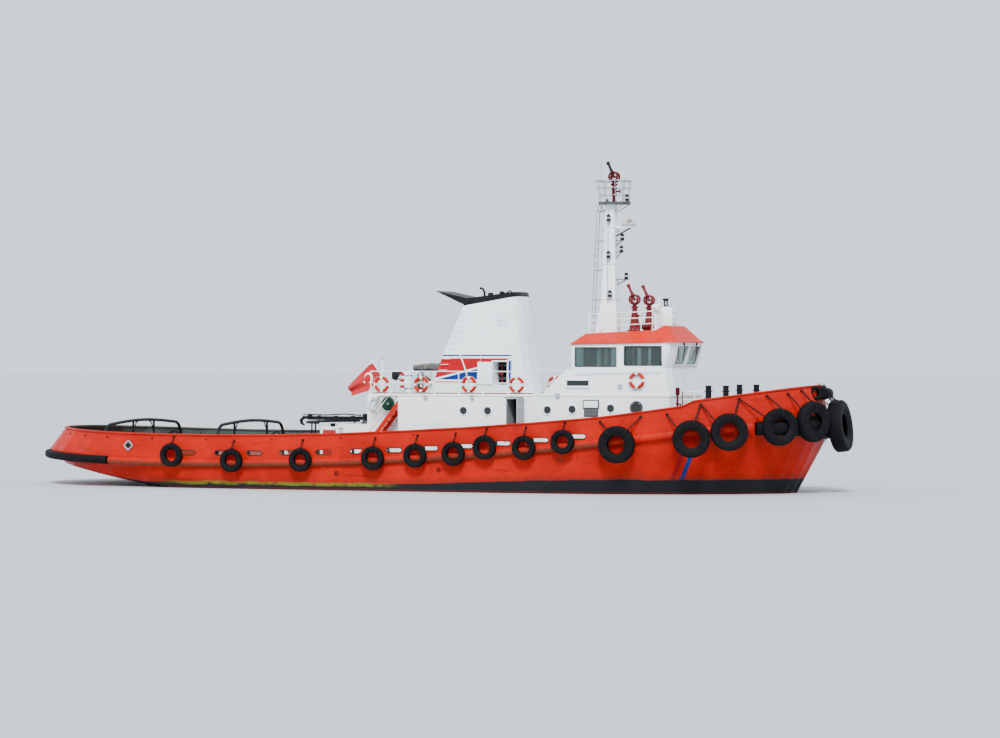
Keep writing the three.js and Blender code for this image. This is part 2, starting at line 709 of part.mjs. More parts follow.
const WINDLASS = { aft: 14900, fore: 15900, half: 900, axisX: 15400, axisZ: 3750, drumRadius: 330 };
function windlass() {
  const bed = deckPad(WINDLASS.aft, WINDLASS.fore, -WINDLASS.half, WINDLASS.half, deckZ(WINDLASS.fore) + 60);
  const cheeks = [-700, 0, 700].map((y) => prismY([[15000, 3300], [15800, 3300], [15560, 3900], [15240, 3900]],
    y - 60, y + 60));
  const drum = rod([WINDLASS.axisX, -1000, WINDLASS.axisZ], [WINDLASS.axisX, 1000, WINDLASS.axisZ], 170, 8);
  const flanges = [-600, -100, 100, 600].map((y) =>
    rod([WINDLASS.axisX, y - 25, WINDLASS.axisZ], [WINDLASS.axisX, y + 25, WINDLASS.axisZ], WINDLASS.drumRadius, 10));
  return unite(bed, ...cheeks, drum, ...flanges);
}
add("windlass", paint(0x3d4a3f), windlass());

// Deckhouse: a block with rounded front corners, with a lobby behind each side door

const STAIR = { high: -560, outY: -2200, inY: -1500, slope: 1.226, steps: 10 };

const HOUSE_CORNER = [[11170, HOUSE_HALF], [11350, 2250], [HOUSE_FRONT_X, 1800]];
const DOOR = { aft: 4160, fore: 4920, low: 2110, high: 3900, deep: 1000, lap: 40, thick: 45 };

function houseRing(x, half, top) {
  const low = deckZ(x) + SEAT;
  return [[x, half, low], [x, half, top], [x, -half, top], [x, -half, low]];
}

function deckhouse() {
  const top = BOAT_DECK.top - BOAT_DECK.thick - SEAT;
  const straight = [HOUSE_AFT_X, 0, 3000, 6000, 9000].map((x) => houseRing(x, HOUSE_HALF, top));
  const body = loft([...straight, ...HOUSE_CORNER.map(([x, half]) => houseRing(x, half, top))]);
  const back = loft([BACK_BLOCK.aft, 0].map((x) => houseRing(x, BACK_BLOCK.half, top)));
  const lobbies = [-1, 1].map((side) => {
    const ys = [side * (HOUSE_HALF - DOOR.deep), side * (HOUSE_HALF + 100)].sort((a, b) => a - b);
    return box([DOOR.aft, ys[0], DOOR.low], [DOOR.fore, ys[1], DOOR.high]);
  });
  const hinges = [-1, 1].flatMap((side) => [DOOR.low + 300, DOOR.high - 400].map((z) => {
    const ys = [side * (HOUSE_HALF - 10), side * (HOUSE_HALF + 40)].sort((a, b) => a - b);
    return box([DOOR.fore + 78 + SEAT, ys[0], z], [DOOR.fore + 118, ys[1], z + 100]);
  }));
  const stairWell = box([HOUSE_AFT_X - 50, STAIR.outY - 60, 1000], [STAIR.high + 80, STAIR.inY + 60, top + 50]);
  return unite(cut(unite(body, back), stairWell, ...lobbies), ...hinges);
}

// The leaf lies against the wall. Its knuckles turn on a vertical axis just ahead of it.
const DOOR_AXIS = { x: DOOR.fore + 60, y: HOUSE_HALF + 30 };
const DOOR_AJAR = 90;

function sideDoor(side) {
  const inner = HOUSE_HALF + 5;
  const leaf = box([DOOR.aft - DOOR.lap, -inner - DOOR.thick, DOOR.low - DOOR.lap],
    [DOOR.fore + DOOR.lap, -inner, DOOR.high + DOOR.lap]);
  const knuckles = [DOOR.low + 300, DOOR.high - 400].map((z) =>
    post(DOOR_AXIS.x, -DOOR_AXIS.y, z, z + 100, 18, 8));
  const arms = [DOOR.low + 300, DOOR.high - 400].map((z) =>
    box([DOOR.fore, -DOOR_AXIS.y - 10, z + 20], [DOOR_AXIS.x, -DOOR_AXIS.y + 10, z + 80]));
  const closedDoor = unite(leaf, ...knuckles, ...arms);
  const opened = closedDoor.translate(-DOOR_AXIS.x, DOOR_AXIS.y, 0)
    .rotateZ((DOOR_AJAR * Math.PI) / 180).translate(DOOR_AXIS.x, -DOOR_AXIS.y, 0);
  return side < 0 ? opened : flipped(opened.applyMatrix4(new THREE.Matrix4().makeScale(1, -1, 1)));
}

add("deckhouse", paint(WHITE), deckhouse());
for (const [name, side] of SIDES) add(`side_door_${name}`, paint(GREY), sideDoor(side));

// Boat deck with the stair opening on the starboard side, railings with lifebuoys, and the stair

function boatDeck() {
  const edge = HOUSE_HALF + 30;
  const outline = [[BOAT_DECK.aftX, -edge], [11185, -edge], [11375, -2270], [11530, -1800],
    [11530, 1800], [11375, 2270], [11185, edge], [BOAT_DECK.aftX, edge]];
  const slab = prismZ(outline, BOAT_DECK.top - BOAT_DECK.thick, BOAT_DECK.top);
  const well = box([BOAT_DECK.aftX + 130, STAIR.outY - 60, 3900], [STAIR.high + 100, STAIR.inY + 60, 4200]);
  return cut(slab, well);
}

function stair() {
  const head = BOAT_DECK.top - 60;
  const start = STAIR.high - (head - deckZ(STAIR.high)) / STAIR.slope;
  const foot = deckZ(start) + 40;
  const rise = head - foot;
  const run = STAIR.high - start;
  const stringers = [STAIR.outY, STAIR.inY - 40].map((y) => prismY([
    [start - 100, foot], [start + 120, foot], [STAIR.high, head - 150], [STAIR.high, head], [STAIR.high - 120, head],
  ], y, y + 40));
  const treads = numbersBetween(1, STAIR.steps).map((i) => {
    const x = start + (run * i) / (STAIR.steps + 1);
    const z = foot + (rise * i) / (STAIR.steps + 1);
    return box([x - 100, STAIR.outY + 10, z - 20], [x + 100, STAIR.inY - 10, z + 20]);
  });
  const pads = [STAIR.outY, STAIR.inY - 40].map((y) => deckPad(start - 150, start + 150, y, y + 40, foot + 30));
  return unite(...stringers, ...treads, ...pads);
}

add("boat_deck", paint(WHITE), boatDeck());
add("stair", paint(0xb5352a), stair());

const RAILING = { top: 5050, mid: 4560, half: 2370, foreX: 5650, postX: [-2040, -1150, -250, 900, 2000, 3100, 4250, 5400] };
const LIFEBUOYS_X = [-1510, 310, 2500, 4650];

function boatRailing(side) {
  const y = side * RAILING.half;
  const aft = RAILING.postX[0];
  const centre = side * (12 + SEAT);
  const posts = RAILING.postX.map((x) => post(x, y, BOAT_DECK.top + SEAT, RAILING.top, 24, 4));
  const aftPost = post(aft, side * 700, BOAT_DECK.top + SEAT, RAILING.top, 24, 4);
  const long = [RAILING.top, RAILING.mid].map((z) => rod([aft, y, z], [RAILING.foreX, y, z], 20, 4));
  const across = [RAILING.top, RAILING.mid].map((z) => rod([aft, centre, z], [aft, y, z], 20, 4));
  const rings = LIFEBUOYS_X.map((x) => plainTyre(350, 215, 110, 10).translate(x, side * (RAILING.half + 40), 4490));
  return unite(...posts, aftPost, ...long, ...across, ...rings);
}
for (const [name, side] of SIDES) add(`boat_railing_${name}`, paint(WHITE), boatRailing(side));

// Funnel with its raked nose, the black cowl with its swept wing, and the funnel door

const FUNNEL = { baseZ: BOAT_DECK.top + SEAT, doorAft: 3120, doorFore: 3780, doorLow: 4480, doorHigh: 5460, wall: 60 };

// The sides lean in as they rise. The nose is round in plan.
const FUNNEL_BASE = { aft: 250, corner: 4050, nose: 4780, half: 1300 };
const FUNNEL_WAIST = { aft: 830, corner: 4000, nose: 4520, z: 5750 };
const FUNNEL_TOP = { aft: 1720, corner: 3900, nose: 4140, aftZ: 7860, foreZ: 8260 };
const FUNNEL_LEAN = 0.055;
const WING_TIP = { x: 420, z: 8520 };
// Exhaust pipes: x, y, height of the top.
const STACKS = [[2700, -350, 8420], [3000, 300, 8450]];
const STACK_RADIUS = 110;

function funnelHalf(z) {
  return FUNNEL_BASE.half - FUNNEL_LEAN * (z - FUNNEL.baseZ);
}

function funnelRing({ aft, corner, nose }, aftZ, foreZ, inset = 0) {
  const at = (x) => aftZ + ((foreZ - aftZ) * (x - aft)) / (nose - aft);
  // Nose points: share of the way from corner to nose, share of the half breadth.
  const rows = [[0, 1], [0.6, 0.8], [0.93, 0.4]];
  const port = rows.map(([along, out]) => {
    const x = corner + (nose - corner) * along;
    return [x, out * (funnelHalf(at(corner)) - inset), at(x)];
  });
  const half = funnelHalf(aftZ) - inset;
  return [[aft, half, aftZ], ...port, ...port.slice().reverse().map(mirrored), [aft, -half, aftZ]];
}

function funnel() {
  const low = funnelRing(FUNNEL_BASE, FUNNEL.baseZ, FUNNEL.baseZ);
  const waist = funnelRing(FUNNEL_WAIST, FUNNEL_WAIST.z, FUNNEL_WAIST.z);
  const high = funnelRing(FUNNEL_TOP, FUNNEL_TOP.aftZ, FUNNEL_TOP.foreZ);
  const recess = box([FUNNEL.doorAft, -1500, FUNNEL.doorLow], [FUNNEL.doorFore, -500, FUNNEL.doorHigh]);
  return cut(loft([low, waist, high]), recess);
}

function funnelCowl() {
  const { aft, corner, nose, aftZ, foreZ } = FUNNEL_TOP;
  const half = funnelHalf(aftZ);
  const low = funnelRing(FUNNEL_TOP, aftZ + SEAT, foreZ + SEAT);
  const high = funnelRing({ aft: aft + 60, corner: corner - 30, nose: nose - 60 }, aftZ + 320, foreZ + 200, 40);
  const cap = loft([low, high]);
  const wingRing = (y) => [[WING_TIP.x, y, WING_TIP.z], [aft, y, aftZ + 60], [aft + 550, y, aftZ + 230],
    [aft + 100, y, aftZ + 350]];
  const wing = loft([wingRing(-half), wingRing(half)]);
  const stacks = STACKS.map(([x, y, top]) => post(x, y, aftZ + 380, top, STACK_RADIUS, 10));
  return unite(cap, wing, ...stacks);
}

// The leaf hangs open, flat beside its opening, on the funnel's leaning side. It closes into the opening.
const FUNNEL_HINGE = { x: FUNNEL.doorAft - 15, y: -12.3, radius: 12, heights: [200, 700] };

function funnelDoor() {
  const long = FUNNEL.doorFore - FUNNEL.doorAft;
  const high = FUNNEL.doorHigh - FUNNEL.doorLow;
  const leaf = box([FUNNEL.doorAft - long - 18, -45, 8], [FUNNEL.doorAft - 42, -5, high - 8]);
  const knuckles = FUNNEL_HINGE.heights.map((z) =>
    post(FUNNEL_HINGE.x, FUNNEL_HINGE.y, z, z + 100, FUNNEL_HINGE.radius, 8));
  const arms = FUNNEL_HINGE.heights.map((z) =>
    box([FUNNEL.doorAft - 60, -19, z + 10], [FUNNEL_HINGE.x, -5.6, z + 90]));
  return unite(leaf, ...knuckles, ...arms);
}

add("funnel", paint(WHITE), funnel());
add("funnel_cowl", paint(BLACK), funnelCowl());
add("funnel_door", paint(WHITE), funnelDoor().rotateX(-Math.atan(FUNNEL_LEAN))
  .translate(0, -funnelHalf(FUNNEL.doorLow), FUNNEL.doorLow));

// Wheelhouse: walls with their windows and the wings aft of them, glass, roof, helm and door

const eaveZ = (x) => WHEELHOUSE.eaveZ + WHEELHOUSE.tilt * (x - WHEELHOUSE.aftX);
// Plan of the walls: x of the front face at each level, then the corner's points from it.
const FRONT_X = { floor: 11500, sill: 11300, eave: 11560 };

function wheelhouseRing(front, inset, height) {
  const half = HOUSE_HALF - inset;
  const face = front - inset;
  const aft = WHEELHOUSE.aftX + inset;
  const plan = [[aft, half], [face - 330, half], [face - 150, half - 150], [face, half - 600]];
  const whole = [...plan, ...plan.slice().reverse().map(([x, y]) => [x, -y])];
  return whole.map(([x, y]) => [x, y, height(x)]);
}

const floorZ = () => BOAT_DECK.top + SEAT;
const sillZ = () => WHEELHOUSE.sillZ;
// Windows, in pairs about the centreline: first and last place along the wall, sill and head.
const SIDE_WINDOWS = [[7230, 9080, 5250, 6080], [9400, 11060, 5300, 6130]];
const FRONT_WINDOW = [90, 1660, 5330, 6150];
const AFT_WINDOW = [800, 2150, 5260, 6080];
const GLASS_THICK = 12;
const AFT_DOOR = { half: 380, low: 4200, high: 6040, thick: 45, lap: 30, hingeZ: [4500, 5700] };

function wheelhouseBody(inset, low, high) {
  return loft([
    wheelhouseRing(FRONT_X.floor, inset, low),
    wheelhouseRing(FRONT_X.sill, inset, sillZ),
    wheelhouseRing(FRONT_X.eave, inset, high),
  ]);
}

function windowTools() {
  const sides = SIDE_WINDOWS.map(([aft, fore, low, high]) => box([aft, -2600, low], [fore, 2600, high]));
  const [near, far, low, high] = FRONT_WINDOW;
  const front = [-1, 1].map((s) => box([11000, Math.min(s * near, s * far), low],
    [11900, Math.max(s * near, s * far), high]));
  const [aftNear, aftFar, aftLow, aftHigh] = AFT_WINDOW;
  const aft = [-1, 1].map((s) => box([6900, Math.min(s * aftNear, s * aftFar), aftLow],
    [7200, Math.max(s * aftNear, s * aftFar), aftHigh]));
  return [...sides, ...front, ...aft];
}

const doorway = () => box([6900, -AFT_DOOR.half, AFT_DOOR.low], [7400, AFT_DOOR.half, AFT_DOOR.high]);

function wheelhouseWalls() {
  const outer = wheelhouseBody(0, floorZ, eaveZ);
  const inner = wheelhouseBody(WHEELHOUSE.wall, () => BOAT_DECK.top - 5, (x) => eaveZ(x) + 5);
  const wings = [-HOUSE_HALF, HOUSE_HALF - 60].map((y) => prismY([[5770, floorZ()], [6840, 5150], [7130, 5150],
    [7130, floorZ()]], y, y + 60));
  const hinges = AFT_DOOR.hingeZ.map((z) =>
    box([7055, AFT_DOOR.half + 78 + SEAT, z], [7110, AFT_DOOR.half + 118, z + 100]));
  return unite(cut(outer, inner, doorway(), ...windowTools()), ...wings, ...hinges);
}

function glassBand() {
  const face = WHEELHOUSE.wall + SEAT;
  const layer = (inset) => wheelhouseBody(inset, () => BOAT_DECK.top - 5, (x) => eaveZ(x) + 5);
  const below = box([7000, -2500, 4000], [12000, 2500, WHEELHOUSE.sillZ + 10]);
  const above = box([7000, -2500, WHEELHOUSE.eaveZ - 15], [12000, 2500, 7000]);
  return cut(layer(face), layer(face + GLASS_THICK), below, above, doorway());
}

function aftDoor() {
  const x = WHEELHOUSE.aftX - 5;
  const leaf = box([x - AFT_DOOR.thick, -AFT_DOOR.half - AFT_DOOR.lap, AFT_DOOR.low - AFT_DOOR.lap],
    [x, AFT_DOOR.half + AFT_DOOR.lap, AFT_DOOR.high + AFT_DOOR.lap]);
  const axisY = AFT_DOOR.half + 60;
  const knuckles = AFT_DOOR.hingeZ.map((z) => post(x - 25, axisY, z, z + 100, 18, 8));
  const arms = AFT_DOOR.hingeZ.map((z) => box([x - 35, AFT_DOOR.half, z + 20], [x - 15, axisY, z + 80]));
  return unite(leaf, ...knuckles, ...arms);
}

// Roof sections: x, half breadth of the eave, half breadth of the top, height of the top.
const ROOF = [
  [7030, 2440, 2380, 6230], [7370, 2440, 1350, 6660], [10450, 2440, 1350, 6800],
  [10780, 2440, 1250, 6990], [10990, 2440, 1130, 6960], [11260, 2440, 1430, 6650], [11500, 2310, 1700, 6380],
  [11640, 1900, 1780, 6320],
];
const roofTopZ = (x) => tableAt(ROOF.map(([at, , , z]) => [at, z]), x);

function roof() {
  return loft(ROOF.map(([x, eaveHalf, topHalf, top]) => {
    const low = eaveZ(x) + SEAT;
    return [[x, eaveHalf, low], [x, topHalf, top], [x, -topHalf, top], [x, -eaveHalf, low]];
  }));
}

add("wheelhouse_walls", paint(WHITE), wheelhouseWalls());
add("wheelhouse_glass", paint(0x3d5a60, 0.1, 0), glassBand());
add("wheelhouse_roof", paint(ORANGE), roof());
add("wheelhouse_door", paint(0x6b4a30), aftDoor());
add("helm_console", paint(0x4a4f52), prismY([[10350, BOAT_DECK.top + SEAT], [10900, BOAT_DECK.top + SEAT],
  [10900, 5200], [10500, 5050], [10350, 4900]], -1200, 1200));
add("helm_chair", paint(0x222426), unite(
  post(9500, 0, BOAT_DECK.top + SEAT, BOAT_DECK.top + 40, 260, 10),
  post(9500, 0, BOAT_DECK.top + 30, 4560, 60, 8),
  box([9250, -260, 4550], [9750, 260, 4660]),
  box([9200, -250, 4640], [9300, 250, 5300]),
));

// On the roof: railings, monitors with their pedestals and pipe, searchlight and mast

const ROOF_RAIL = { half: 1290, aft: 7500, fore: 10350, postX: [7560, 8700, 9800, 10300], heights: [280, 540, 800] };

function roofRailing(side) {
  const y = side * ROOF_RAIL.half;
  const at = (x, height) => [x, y, roofTopZ(x) + height];
  const bars = ROOF_RAIL.heights.map((h) => rod(at(ROOF_RAIL.aft, h), at(ROOF_RAIL.fore, h), 18, 4));
  const posts = ROOF_RAIL.postX.map((x) => post(x, y, roofTopZ(x) + 20, roofTopZ(x) + ROOF_RAIL.heights[2], 20, 4));
  const feet = ROOF_RAIL.postX.map((x) => roofFoot(x, y, 45, 60));
  return unite(...bars, ...posts, ...feet);
}

function roofFoot(x, y, half, thick) {
  const [a, b] = [x - half, x + half];
  const outline = [[a, roofTopZ(a) + SEAT], [b, roofTopZ(b) + SEAT], [b, roofTopZ(x) + thick], [a, roofTopZ(x) + thick]];
  return prismY(outline, y - half, y + half);
}

for (const [name, side] of SIDES) add(`roof_railing_${name}`, paint(WHITE), roofRailing(side));

const ROOF_MONITOR = { x: 9420, y: 1000, ringZ: 8090 };
const MAST_TOP = { x: 8180, floor: 12250, ringZ: 13330 };
const CHEEK = { radius: 230, thick: 30, gap: 130 };

function monitorPedestal(x, y, low, ringZ) {
  return post(x, y, low, ringZ - 330, 240, 10, 110);
}

function monitorSwivel(x, y, ringZ) {
  const neck = post(x, y, ringZ - 330 + SEAT, ringZ - 250, 120, 10);
  const bridge = box([x - 110, y - CHEEK.gap - CHEEK.thick, ringZ - 260], [x + 110, y + CHEEK.gap + CHEEK.thick, ringZ - 215]);
  const cheeks = [-1, 1].map((side) => {
    const [near, far] = [side * CHEEK.gap, side * (CHEEK.gap + CHEEK.thick)];
    return rod([x, y + near, ringZ], [x, y + far, ringZ], CHEEK.radius, 12);
  });
  return unite(neck, bridge, ...cheeks);
}

function monitorBarrel(x, y, ringZ) {
  const half = CHEEK.gap - SEAT;
  const hub = rod([x, y - half, ringZ], [x, y + half, ringZ], 95, 12);
  const lean = (25 * Math.PI) / 180;
  const tube = turned([[0, 0], [80, 0], [75, 350], [48, 620], [70, 640], [70, 700], [0, 700]], 10)
    .rotateX(Math.PI / 2).rotateY(-lean).translate(x, y, ringZ);
  return unite(hub, tube);
}

const MONITORS = [["port", ROOF_MONITOR.x, ROOF_MONITOR.y, ROOF_MONITOR.ringZ],
  ["starboard", ROOF_MONITOR.x, -ROOF_MONITOR.y, ROOF_MONITOR.ringZ], ["mast", MAST_TOP.x, 0, MAST_TOP.ringZ]];

function roofPiping() {
  const feet = [-1, 1].map((side) => roofFoot(ROOF_MONITOR.x, side * ROOF_MONITOR.y, 260, 60));
  const cones = [-1, 1].map((side) => monitorPedestal(ROOF_MONITOR.x, side * ROOF_MONITOR.y,
    roofTopZ(ROOF_MONITOR.x) + 30, ROOF_MONITOR.ringZ));
  const z = roofTopZ(ROOF_MONITOR.x) + 220;
  const pipeAcross = rod([ROOF_MONITOR.x, -ROOF_MONITOR.y, z], [ROOF_MONITOR.x, ROOF_MONITOR.y, z], 110, 10);
  return unite(...feet, ...cones, pipeAcross);
}

add("monitor_pedestals", paint(DARK_RED), roofPiping());
for (const [name, x, y, ringZ] of MONITORS) {
  add(`monitor_swivel_${name}`, paint(DARK_RED), monitorSwivel(x, y, ringZ));
  add(`monitor_barrel_${name}`, paint(DARK_RED), monitorBarrel(x, y, ringZ));
}

const SEARCHLIGHT = { x: 10250, y: -700, lampZ: 7720 };
add("searchlight_post", paint(WHITE), unite(
  roofFoot(SEARCHLIGHT.x, SEARCHLIGHT.y, 110, 60),
  post(SEARCHLIGHT.x, SEARCHLIGHT.y, roofTopZ(SEARCHLIGHT.x) + 30, SEARCHLIGHT.lampZ - 320, 60, 8),
));
add("searchlight", paint(WHITE), unite(
  post(SEARCHLIGHT.x, SEARCHLIGHT.y, SEARCHLIGHT.lampZ - 320 + SEAT, SEARCHLIGHT.lampZ, 50, 8),
  alongX(new THREE.CylinderGeometry(190, 150, 340, 12)).translate(SEARCHLIGHT.x + 20, SEARCHLIGHT.y, SEARCHLIGHT.lampZ),
));

// Mast rings: height, aft face, fore face, half breadth
const MAST = [[0, 7390, 8370, 300], [7700, 7640, 8360, 290], [7950, 7690, 8330, 280], [12150, 7880, 8240, 240]];
const RADAR = { x: 8850, z: 11430, reach: 300 };

function mast() {
  const rings = MAST.map(([z, aft, fore, half], i) => [[aft, half], [fore, half], [fore, -half], [aft, -half]]
    .map(([x, y]) => [x, y, i === 0 ? roofTopZ(x) + SEAT : z]));
  const bracket = box([8150, -120, 11150], [RADAR.x + 130, 120, 11250]);
  const motor = post(RADAR.x, 0, 11240, RADAR.z - 60, 90, 10);
  return unite(loft(rings), bracket, motor);
}

function mastPlatform() {
  const floor = box([7620, -520, MAST[3][0] + SEAT], [8780, 520, MAST_TOP.floor]);
  // Corners of the basket: x and y at its floor, then at its top rail.
  const corners = [[7660, -480, 7520, -580], [8740, -480, 8790, -580], [8740, 480, 8790, 580], [7660, 480, 7520, 580]];
  const topZ = 13150;
  const posts = corners.map(([x, y, tx, ty]) => rod([x, y, MAST_TOP.floor - 30], [tx, ty, topZ], 22, 4));
  const hoops = [0.5, 1].flatMap((share0) => corners.map((corner, i) => {
    const next = corners[(i + 1) % corners.length];
    const at = ([x, y, tx, ty]) => [x + (tx - x) * share0, y + (ty - y) * share0,
      MAST_TOP.floor + (topZ - MAST_TOP.floor) * share0];
    return rod(at(corner), at(next), 22, 4);
  }));
  const pedestal = monitorPedestal(MAST_TOP.x, 0, MAST_TOP.floor - 20, MAST_TOP.ringZ);
  return unite(floor, ...posts, ...hoops, pedestal);
}

add("mast", paint(WHITE), mast());
add("mast_platform", paint(WHITE), mastPlatform());
add("radar_scanner", paint(WHITE), unite(
  post(RADAR.x, 0, RADAR.z - 60 + SEAT, RADAR.z, 60, 10),
  box([RADAR.x - 60, -RADAR.reach, RADAR.z - 10], [RADAR.x + 60, RADAR.reach, RADAR.z + 110]),
));

// On the boat deck: raft canister, covered boat on its cradle, flagstaff with the flag

add("raft_canister", paint(WHITE), post(-850, -1150, BOAT_DECK.top + SEAT, 5060, 210, 12));

const BOAT = { aft: -1690, fore: 1500, y: 1860, half: 420, low: 5000, top: 5430 };
const BOAT_CRADLES_X = [-1440, 900];
function coveredBoat() {
  // Sections: share of the length, share of the breadth, share of the height.
  const rows = [[0, 0.7, 0.75], [0.15, 0.95, 0.92], [0.55, 1, 1], [0.85, 0.7, 0.85], [1, 0.15, 0.6]];
  const body = loft(rows.map(([along, wide, high]) => {
    const x = BOAT.aft + (BOAT.fore - BOAT.aft) * along;
    const half = BOAT.half * wide;
    const top = BOAT.low + (BOAT.top - BOAT.low) * high;
    const waist = BOAT.low + (top - BOAT.low) * 0.55;
    return [[x, BOAT.y - 0.4 * half, BOAT.low], [x, BOAT.y - half, waist], [x, BOAT.y - 0.35 * half, top],
      [x, BOAT.y + 0.35 * half, top], [x, BOAT.y + half, waist], [x, BOAT.y + 0.4 * half, BOAT.low]];
  }));
  const beams = BOAT_CRADLES_X.map((x) => box([x - 50, BOAT.y - 320, BOAT.low - 60], [x + 50, BOAT.y + 320, BOAT.low + 60]));
  const legs = BOAT_CRADLES_X.flatMap((x) => [-280, 280].map((out) =>
    post(x, BOAT.y + out, BOAT_DECK.top + SEAT, BOAT.low, 35, 6)));
  return unite(body, ...beams, ...legs);
}
add("covered_boat", paint(0x3b4046, 0.9, 0), coveredBoat());

const STAFF = { foot: [-2010, 0, 4118], top: [-3085, 0, 5650], radius: 25 };
const FLAG = { hoistHigh: 5400, hoistLow: 4800, thick: 10 };
const staffX = (z) => STAFF.foot[0] + ((STAFF.top[0] - STAFF.foot[0]) * (z - STAFF.foot[2])) / (STAFF.top[2] - STAFF.foot[2]);

// The cloth's hoist edge lies along the staff, which is cut out of it with the seat.
function flag() {
  const outline = [[staffX(FLAG.hoistHigh), FLAG.hoistHigh], [-3120, 5330], [-4170, 4350], [-3900, 3950],
    [-3180, 4140], [staffX(FLAG.hoistLow), FLAG.hoistLow]];
  return cut(prismY(outline, -FLAG.thick / 2, FLAG.thick / 2), rod(STAFF.foot, STAFF.top, STAFF.radius + 1.3 * SEAT, 8));
}

add("flagstaff", paint(WHITE), unite(
  rod(STAFF.foot, STAFF.top, STAFF.radius, 8),
  box([-2090, -60, BOAT_DECK.top + SEAT], [-1930, 60, 4150]),
));
add("flag", paint(0xc0141c, 0.9, 0), flag());

export default tug;
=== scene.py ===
"""The tug's looks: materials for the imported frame, and the detail around it. Metres, +X forward, +Y port."""

from math import atan2, cos, pi, radians, sin, sqrt

import bmesh
import bpy
from mathutils import Matrix, Vector


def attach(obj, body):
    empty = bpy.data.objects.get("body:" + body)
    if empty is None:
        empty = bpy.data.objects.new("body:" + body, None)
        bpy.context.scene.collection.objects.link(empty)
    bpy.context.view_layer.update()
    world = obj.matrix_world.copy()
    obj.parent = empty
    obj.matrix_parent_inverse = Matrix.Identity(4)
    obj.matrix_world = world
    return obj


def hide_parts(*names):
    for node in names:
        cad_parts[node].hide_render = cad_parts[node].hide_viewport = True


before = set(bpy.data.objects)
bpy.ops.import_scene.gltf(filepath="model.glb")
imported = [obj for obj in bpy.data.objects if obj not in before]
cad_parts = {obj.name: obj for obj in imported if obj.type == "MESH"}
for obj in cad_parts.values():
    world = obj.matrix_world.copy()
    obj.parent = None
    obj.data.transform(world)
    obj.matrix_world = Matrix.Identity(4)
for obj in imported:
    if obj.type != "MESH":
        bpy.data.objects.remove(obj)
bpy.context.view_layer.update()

VESSEL = "vessel"
SIDES = (("port", 1), ("starboard", -1))
UP, AHEAD, ABEAM = (0, 0, 1), (1, 0, 0), (0, 1, 0)


# Camera, light and floor

CAMERA_PLACE = (51.38, -130.10, 5.75)
CAMERA_AZIMUTH, CAMERA_DIP = 20.4, 0.249
LENS_MM, SENSOR_MM, FAR_CLIP = 115.9, 36.0, 2000.0
SKY_COLOR, SKY_STRENGTH = (0.80, 0.89, 0.98, 1), 1.55
# Name, place, strength and apparent size in degrees. Both shine towards the origin.
SUNS = [("key", (20, -60, 60), 5.0, 14), ("fill", (-50, -40, 25), 0.5, 60)]
FLOOR_SIZE, FLOOR_COLOR, FLOOR_ROUGHNESS = 1600, (0.46, 0.49, 0.51, 1), 0.8


def make_camera():
    """The photo's own view, with its azimuth and dip in degrees."""
    data = bpy.data.cameras.new("camera")
    data.lens = LENS_MM
    data.sensor_width = SENSOR_MM
    data.clip_end = FAR_CLIP
    camera = bpy.data.objects.new("camera", data)
    bpy.context.scene.collection.objects.link(camera)
    bpy.context.scene.camera = camera
    turn, dip = radians(CAMERA_AZIMUTH), radians(CAMERA_DIP)
    along = Vector((-sin(turn) * cos(dip), cos(turn) * cos(dip), -sin(dip)))
    camera.location = CAMERA_PLACE
    camera.rotation_euler = along.to_track_quat("-Z", "Y").to_euler()


def make_sun(name, place, strength, degrees):
    data = bpy.data.lights.new(name, "SUN")
    data.energy = strength
    data.angle = radians(degrees)
    light = bpy.data.objects.new(name, data)
    light.location = place
    light.rotation_euler = (-Vector(place)).to_track_quat("-Z", "Y").to_euler()
    bpy.context.scene.collection.objects.link(light)


def make_stage():
    world = bpy.data.worlds.new("world")
    world.use_nodes = True
    background = world.node_tree.nodes["Background"]
    background.inputs["Color"].default_value = SKY_COLOR
    background.inputs["Strength"].default_value = SKY_STRENGTH
    bpy.context.scene.world = world
    for sun in SUNS:
        make_sun(*sun)
    bpy.ops.mesh.primitive_plane_add(size=FLOOR_SIZE, location=(0, 0, 0))
    floor = bpy.context.object
    floor.name = "floor"
    graph = Graph("floor_pale")
    floor.data.materials.append(graph.finish(FLOOR_COLOR, roughness=FLOOR_ROUGHNESS))


# Materials

